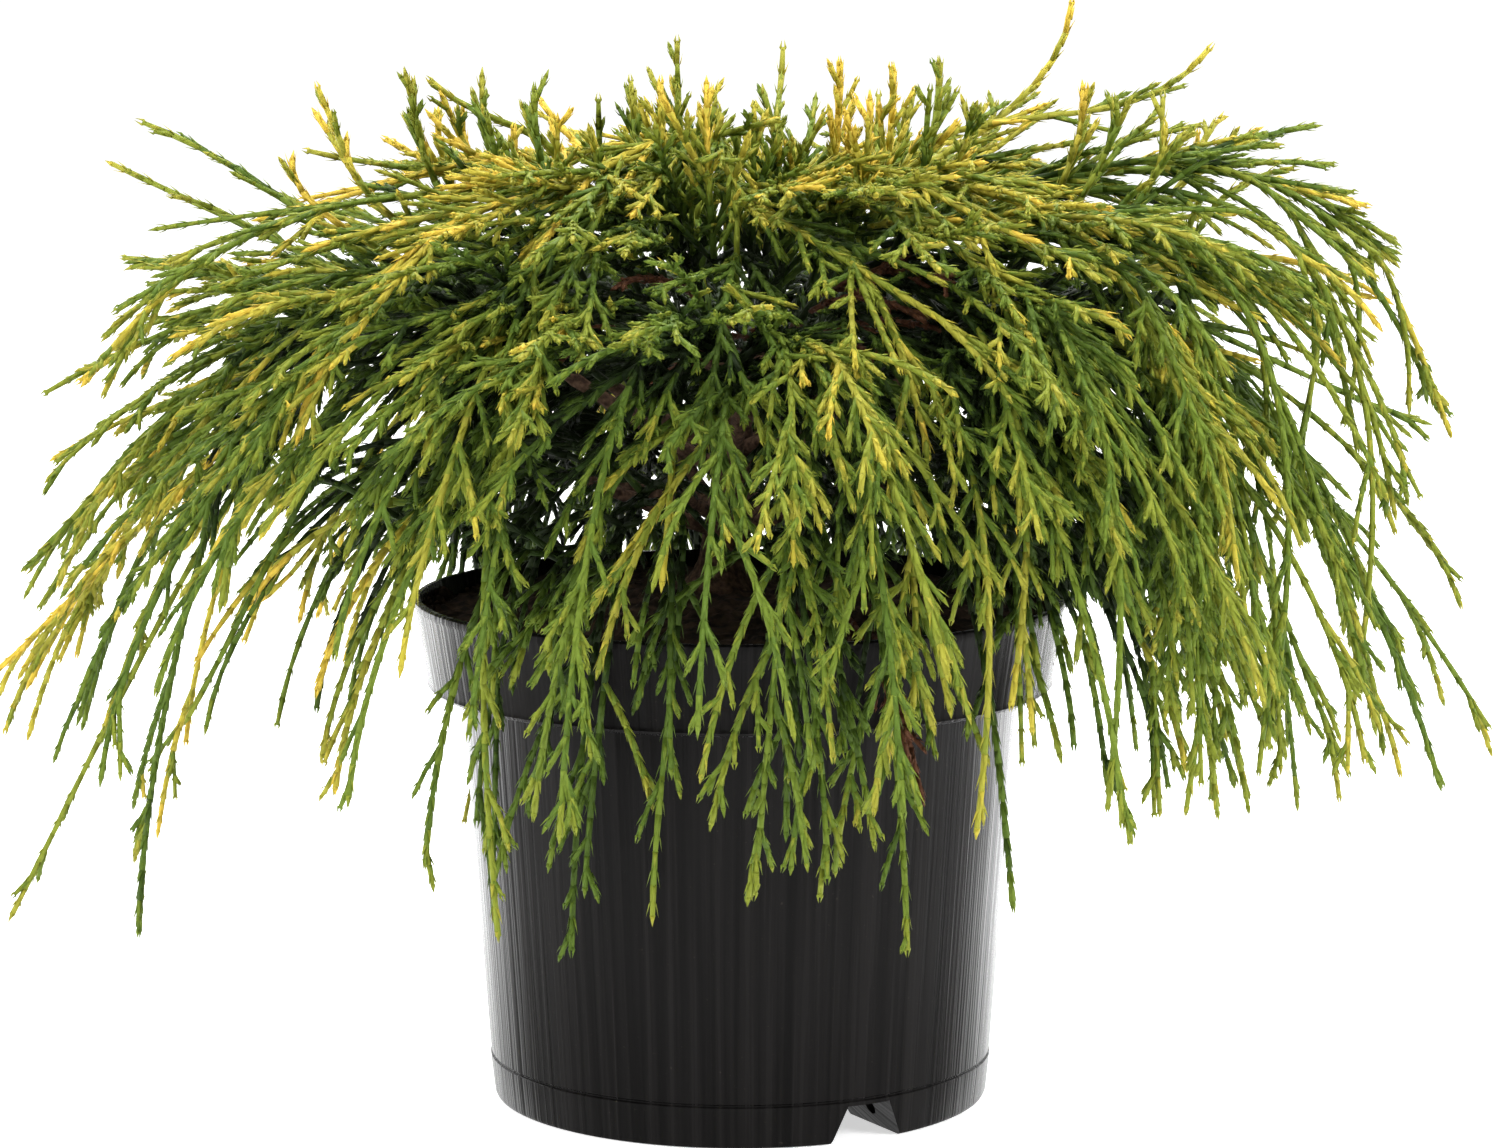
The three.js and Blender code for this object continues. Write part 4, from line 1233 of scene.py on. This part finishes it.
def set_leaves(cords, kind, draws):
    """Pairs of scale leaves along every cord, a pointed wedge of four corners each."""
    size = SHOOT_SIZES[kind]
    owner, order, count = parts_along(cords, size["step"])
    share = (order + 0.75) / count
    place, along, side, over = cord_frames(cords["points"][owner], share)
    odd = (order % 2 == 1)[:, None]
    side, over = np.where(odd, over, side), np.where(odd, -side, over)
    grown = draws.uniform(0.85, 1.15, len(owner))[:, None]
    half = half_thickness(size, share)[:, None]
    last = (order == count - 1)[:, None]
    long = size["leaf"] * grown * np.where(last, LAST_LEAF_LENGTH, 1.0)
    stand = np.where(last, LAST_LEAF_STAND, 1.0) * (half + size["flare"] * grown)
    level = cords["tint"][owner] + tip_gold(count - order, size) + LEAF_GOLD
    leaves = []
    for hand in (1, -1):
        out, across = side * hand, over * hand
        foot = place + out * half * LEAF_FOOT
        leaves.append(np.stack([
            foot + across * size["leaf_half"],
            foot - across * size["leaf_half"],
            place + along * long * RIDGE_ALONG + out * (half + RIDGE_HEIGHT),
            place + along * long + out * stand], axis=1))
    return dict(vertices=np.concatenate(leaves), place=np.concatenate([place, place]),
                level=np.concatenate([level, level]))


LEAF_FACES = np.array([[0, 1, 3], [0, 3, 2], [1, 2, 3], [0, 2, 1]])


# Painted shade in the crown: leaves are counted in cells, and a place's colour is darkened by
# the count outward of it, less so at the crown's edge, and by how deep it lies in the dim middle.
CELL = 8.0
CELL_COUNTS = (72, 72, 56)
CELL_CORNER = np.array([280.0, 280.0, 0.0])
THICKET = 54.0
LOOK_OUT = (12, 20, 28, 36, 46)
HEART_HEIGHT = 60.0
FLATTENED = np.array([1, 1, 0.6])
EDGE_SHARE = 0.72
EDGE_SPAN = 0.2
EDGE_RELIEF = 0.5
MIDDLE_SHARE = 0.66
MIDDLE_SPAN = 0.3
MIDDLE_TOP = 256
MIDDLE_DEPTH = 24


def crowding(places, leaves):
    """How many leaves lie outward of each place, as a share of a dense thicket's."""
    counts = np.zeros(CELL_COUNTS)
    np.add.at(counts, tuple(((leaves + CELL_CORNER) / CELL).astype(int).T), 1)
    outward = unit(places * FLATTENED - np.array([0, 0, HEART_HEIGHT]))
    over = np.zeros(len(places))
    for step in LOOK_OUT:
        cells = ((places + outward * step + CELL_CORNER) / CELL).astype(int)
        over += counts[tuple(np.clip(cells, 0, np.array(CELL_COUNTS) - 1).T)]
    at_edge = np.clip((out_from_middle(places) - EDGE_SHARE) / EDGE_SPAN, 0, 1)
    return np.clip(over / THICKET, 0, 1) * (1 - EDGE_RELIEF * at_edge)


def depth_inside(places):
    """How deep places lie in the dim middle of the crown, below its top."""
    inward = np.clip((MIDDLE_SHARE - out_from_middle(places)) / MIDDLE_SPAN, 0, 1)
    return inward * np.clip((MIDDLE_TOP - places[:, 2]) / MIDDLE_DEPTH, 0, 1)


def clear_of_pot(place):
    """Whether places are above the peat and the rim, or outside the pot's wall."""
    over_peat, over_rim, off_rim, off_wall = 2.5, 2, 1.5, 2
    radius = np.hypot(place[:, 0], place[:, 1])
    top = np.where(radius < SOIL_RADIUS, soil_height(radius) + over_peat, POT_HEIGHT + over_rim)
    wall = np.where(place[:, 2] > LEDGE_HEIGHT - 2, RIM_RADIUS + off_rim,
                    body_radius(place[:, 2]) + off_wall)
    return np.where(radius < RIM_RADIUS + off_rim, (place[:, 2] > top) | (radius > wall), True)


def join_up(name, bodies, faces, material):
    """One piece of many small closed bodies that share the same few faces."""
    count, corners = bodies.shape[:2]
    vertices = bodies.reshape(-1, 3)
    faces = (np.arange(count)[:, None, None] * corners + faces).reshape(-1, 3)
    mesh = bpy.data.meshes.new(name)
    mesh.vertices.add(len(vertices))
    mesh.vertices.foreach_set("co", (vertices * MM).astype(np.float32).ravel())
    mesh.loops.add(faces.size)
    mesh.loops.foreach_set("vertex_index", faces.astype(np.int32).ravel())
    mesh.polygons.add(len(faces))
    mesh.polygons.foreach_set("loop_start", np.arange(0, faces.size, 3, dtype=np.int32))
    mesh.update(calc_edges=True)
    piece = bpy.data.objects.new(name, mesh)
    bpy.context.collection.objects.link(piece)
    finish_piece(piece, name, material, "foliage", *[mass["node"] for mass in masses])


LEAF_COLOURS = [
    ("shaded_green", (0.006, 0.013, 0.002), (0.011, 0.020, 0.003)),
    ("deep_green", (0.016, 0.034, 0.004), (0.025, 0.047, 0.007)),
    ("forest_green", (0.036, 0.065, 0.007), (0.049, 0.083, 0.011)),
    ("mid_green", (0.061, 0.104, 0.010), (0.078, 0.127, 0.016)),
    ("fresh_green", (0.099, 0.146, 0.013), (0.124, 0.174, 0.021)),
    ("yellow_green", (0.157, 0.190, 0.017), (0.192, 0.224, 0.026)),
    ("olive_gold", (0.248, 0.244, 0.024), (0.296, 0.282, 0.036)),
    ("pale_gold", (0.365, 0.312, 0.030), (0.425, 0.355, 0.044)),
    ("gold", (0.510, 0.365, 0.036), (0.580, 0.415, 0.056)),
]


def leaf_material(name, *colours):
    return mottled_material(name, roughness=0.58, specular=0.12, colours=colours,
                            grain=(340, 0.35, 0.65), relief=(0.35, 0.0003))


leaf_materials = [leaf_material(*row) for row in LEAF_COLOURS]
MOST_TRIANGLES = 190000
LOWEST_SHOOT = 40
OPEN_LEVEL = 0.12
# Painted shade: how far crowding and depth in the crown lower a place's colour step.
CROWDING_PAINTED_SHADE = 0.5
INSIDE_PAINTED_SHADE = 0.48
LEVEL_SCATTER = 0.02


def deal_out(kind, batches, faces, leaf_places, draws):
    """One or more joined pieces of each colour from all cords or all leaves, with painted shade
    lowering the colour of crowded and inner places.
    """
    vertices = np.concatenate([batch["vertices"] for batch in batches])
    places = np.concatenate([batch["place"] for batch in batches])
    level = np.concatenate([batch["level"] for batch in batches]) + OPEN_LEVEL
    # Painted shade: colour steps are lowered where leaves crowd outward of a place and deep in the
    # crown's middle.
    level = level - CROWDING_PAINTED_SHADE * crowding(places, leaf_places)
    level = level - INSIDE_PAINTED_SHADE * depth_inside(places)
    level = level + draws.normal(0, LEVEL_SCATTER, len(level))
    shades = len(leaf_materials)
    steps = np.clip((level * shades).astype(int), 0, shades - 1)
    keep = clear_of_pot(places) & (places[:, 2] > LOWEST_SHOOT)
    for step, material in enumerate(leaf_materials):
        own = vertices[keep & (steps == step)]
        parts = max(1, math.ceil(len(own) * len(faces) / MOST_TRIANGLES))
        for part in range(parts):
            join_up(f"{material.name}_{kind}_{part + 1}", own[part::parts], faces, material)


def dress_crown():
    draws = np.random.RandomState(9)
    shoots = grow_foliage()
    rods = [lay_rods(cords, kind) for cords, kind in shoots]
    leaves = [set_leaves(cords, kind, draws) for cords, kind in shoots]
    leaf_places = np.concatenate([batch["place"] for batch in leaves])
    deal_out("cords", rods, ROD_FACES, leaf_places, draws)
    deal_out("leaves", leaves, LEAF_FACES, leaf_places, draws)


dress_crown()


# Dead twigs: a few short shoots that have dried to cinnamon brown, ten in the middle of the
# crown and two that hang over the pot, each by where it starts and ends.
DEAD_SHOOTS = [
    ((22, -40, 238), (58, -92, 246)), ((20, -42, 234), (50, -96, 236)),
    ((24, -40, 228), (66, -88, 228)), ((20, -44, 224), (56, -94, 216)),
    ((14, -46, 222), (36, -100, 206)), ((-2, -40, 226), (-14, -92, 228)),
    ((4, -42, 224), (8, -98, 226)), ((-6, -40, 220), (-24, -94, 214)),
    ((-20, -38, 226), (-52, -86, 222)), ((-10, -44, 236), (-34, -84, 244)),
    ((30, -60, 150), (46, -102, 118)), ((36, -58, 148), (50, -104, 106))]
DEAD_BOW = np.array([0, 0, 5.0])


def dry_out():
    """Cords and leaves of the dead shoots and their twigs."""
    draws = np.random.RandomState(12)
    points = []
    for start, tip in DEAD_SHOOTS:
        over = (np.array(start) + np.array(tip)) / 2 + DEAD_BOW
        points.append(arch(start, over, tip))
    none = np.zeros(len(points))
    shoots = dict(points=np.array(points), tint=none, rise=none)
    twigs = branch_off(draws, shoots, TWIG_GROWTH)
    batches = [(shoots, "twig"), (twigs, "twiglet")]
    return ([lay_rods(cords, kind) for cords, kind in batches],
            [set_leaves(cords, kind, draws) for cords, kind in batches])


dead_material = leaf_material("cinnamon_brown", (0.065, 0.024, 0.012), (0.14, 0.060, 0.030))
for kind, faces, batches in zip(("cords", "leaves"), (ROD_FACES, LEAF_FACES), dry_out()):
    vertices = np.concatenate([batch["vertices"] for batch in batches])
    join_up(f"dead_{kind}", vertices, faces, dead_material)
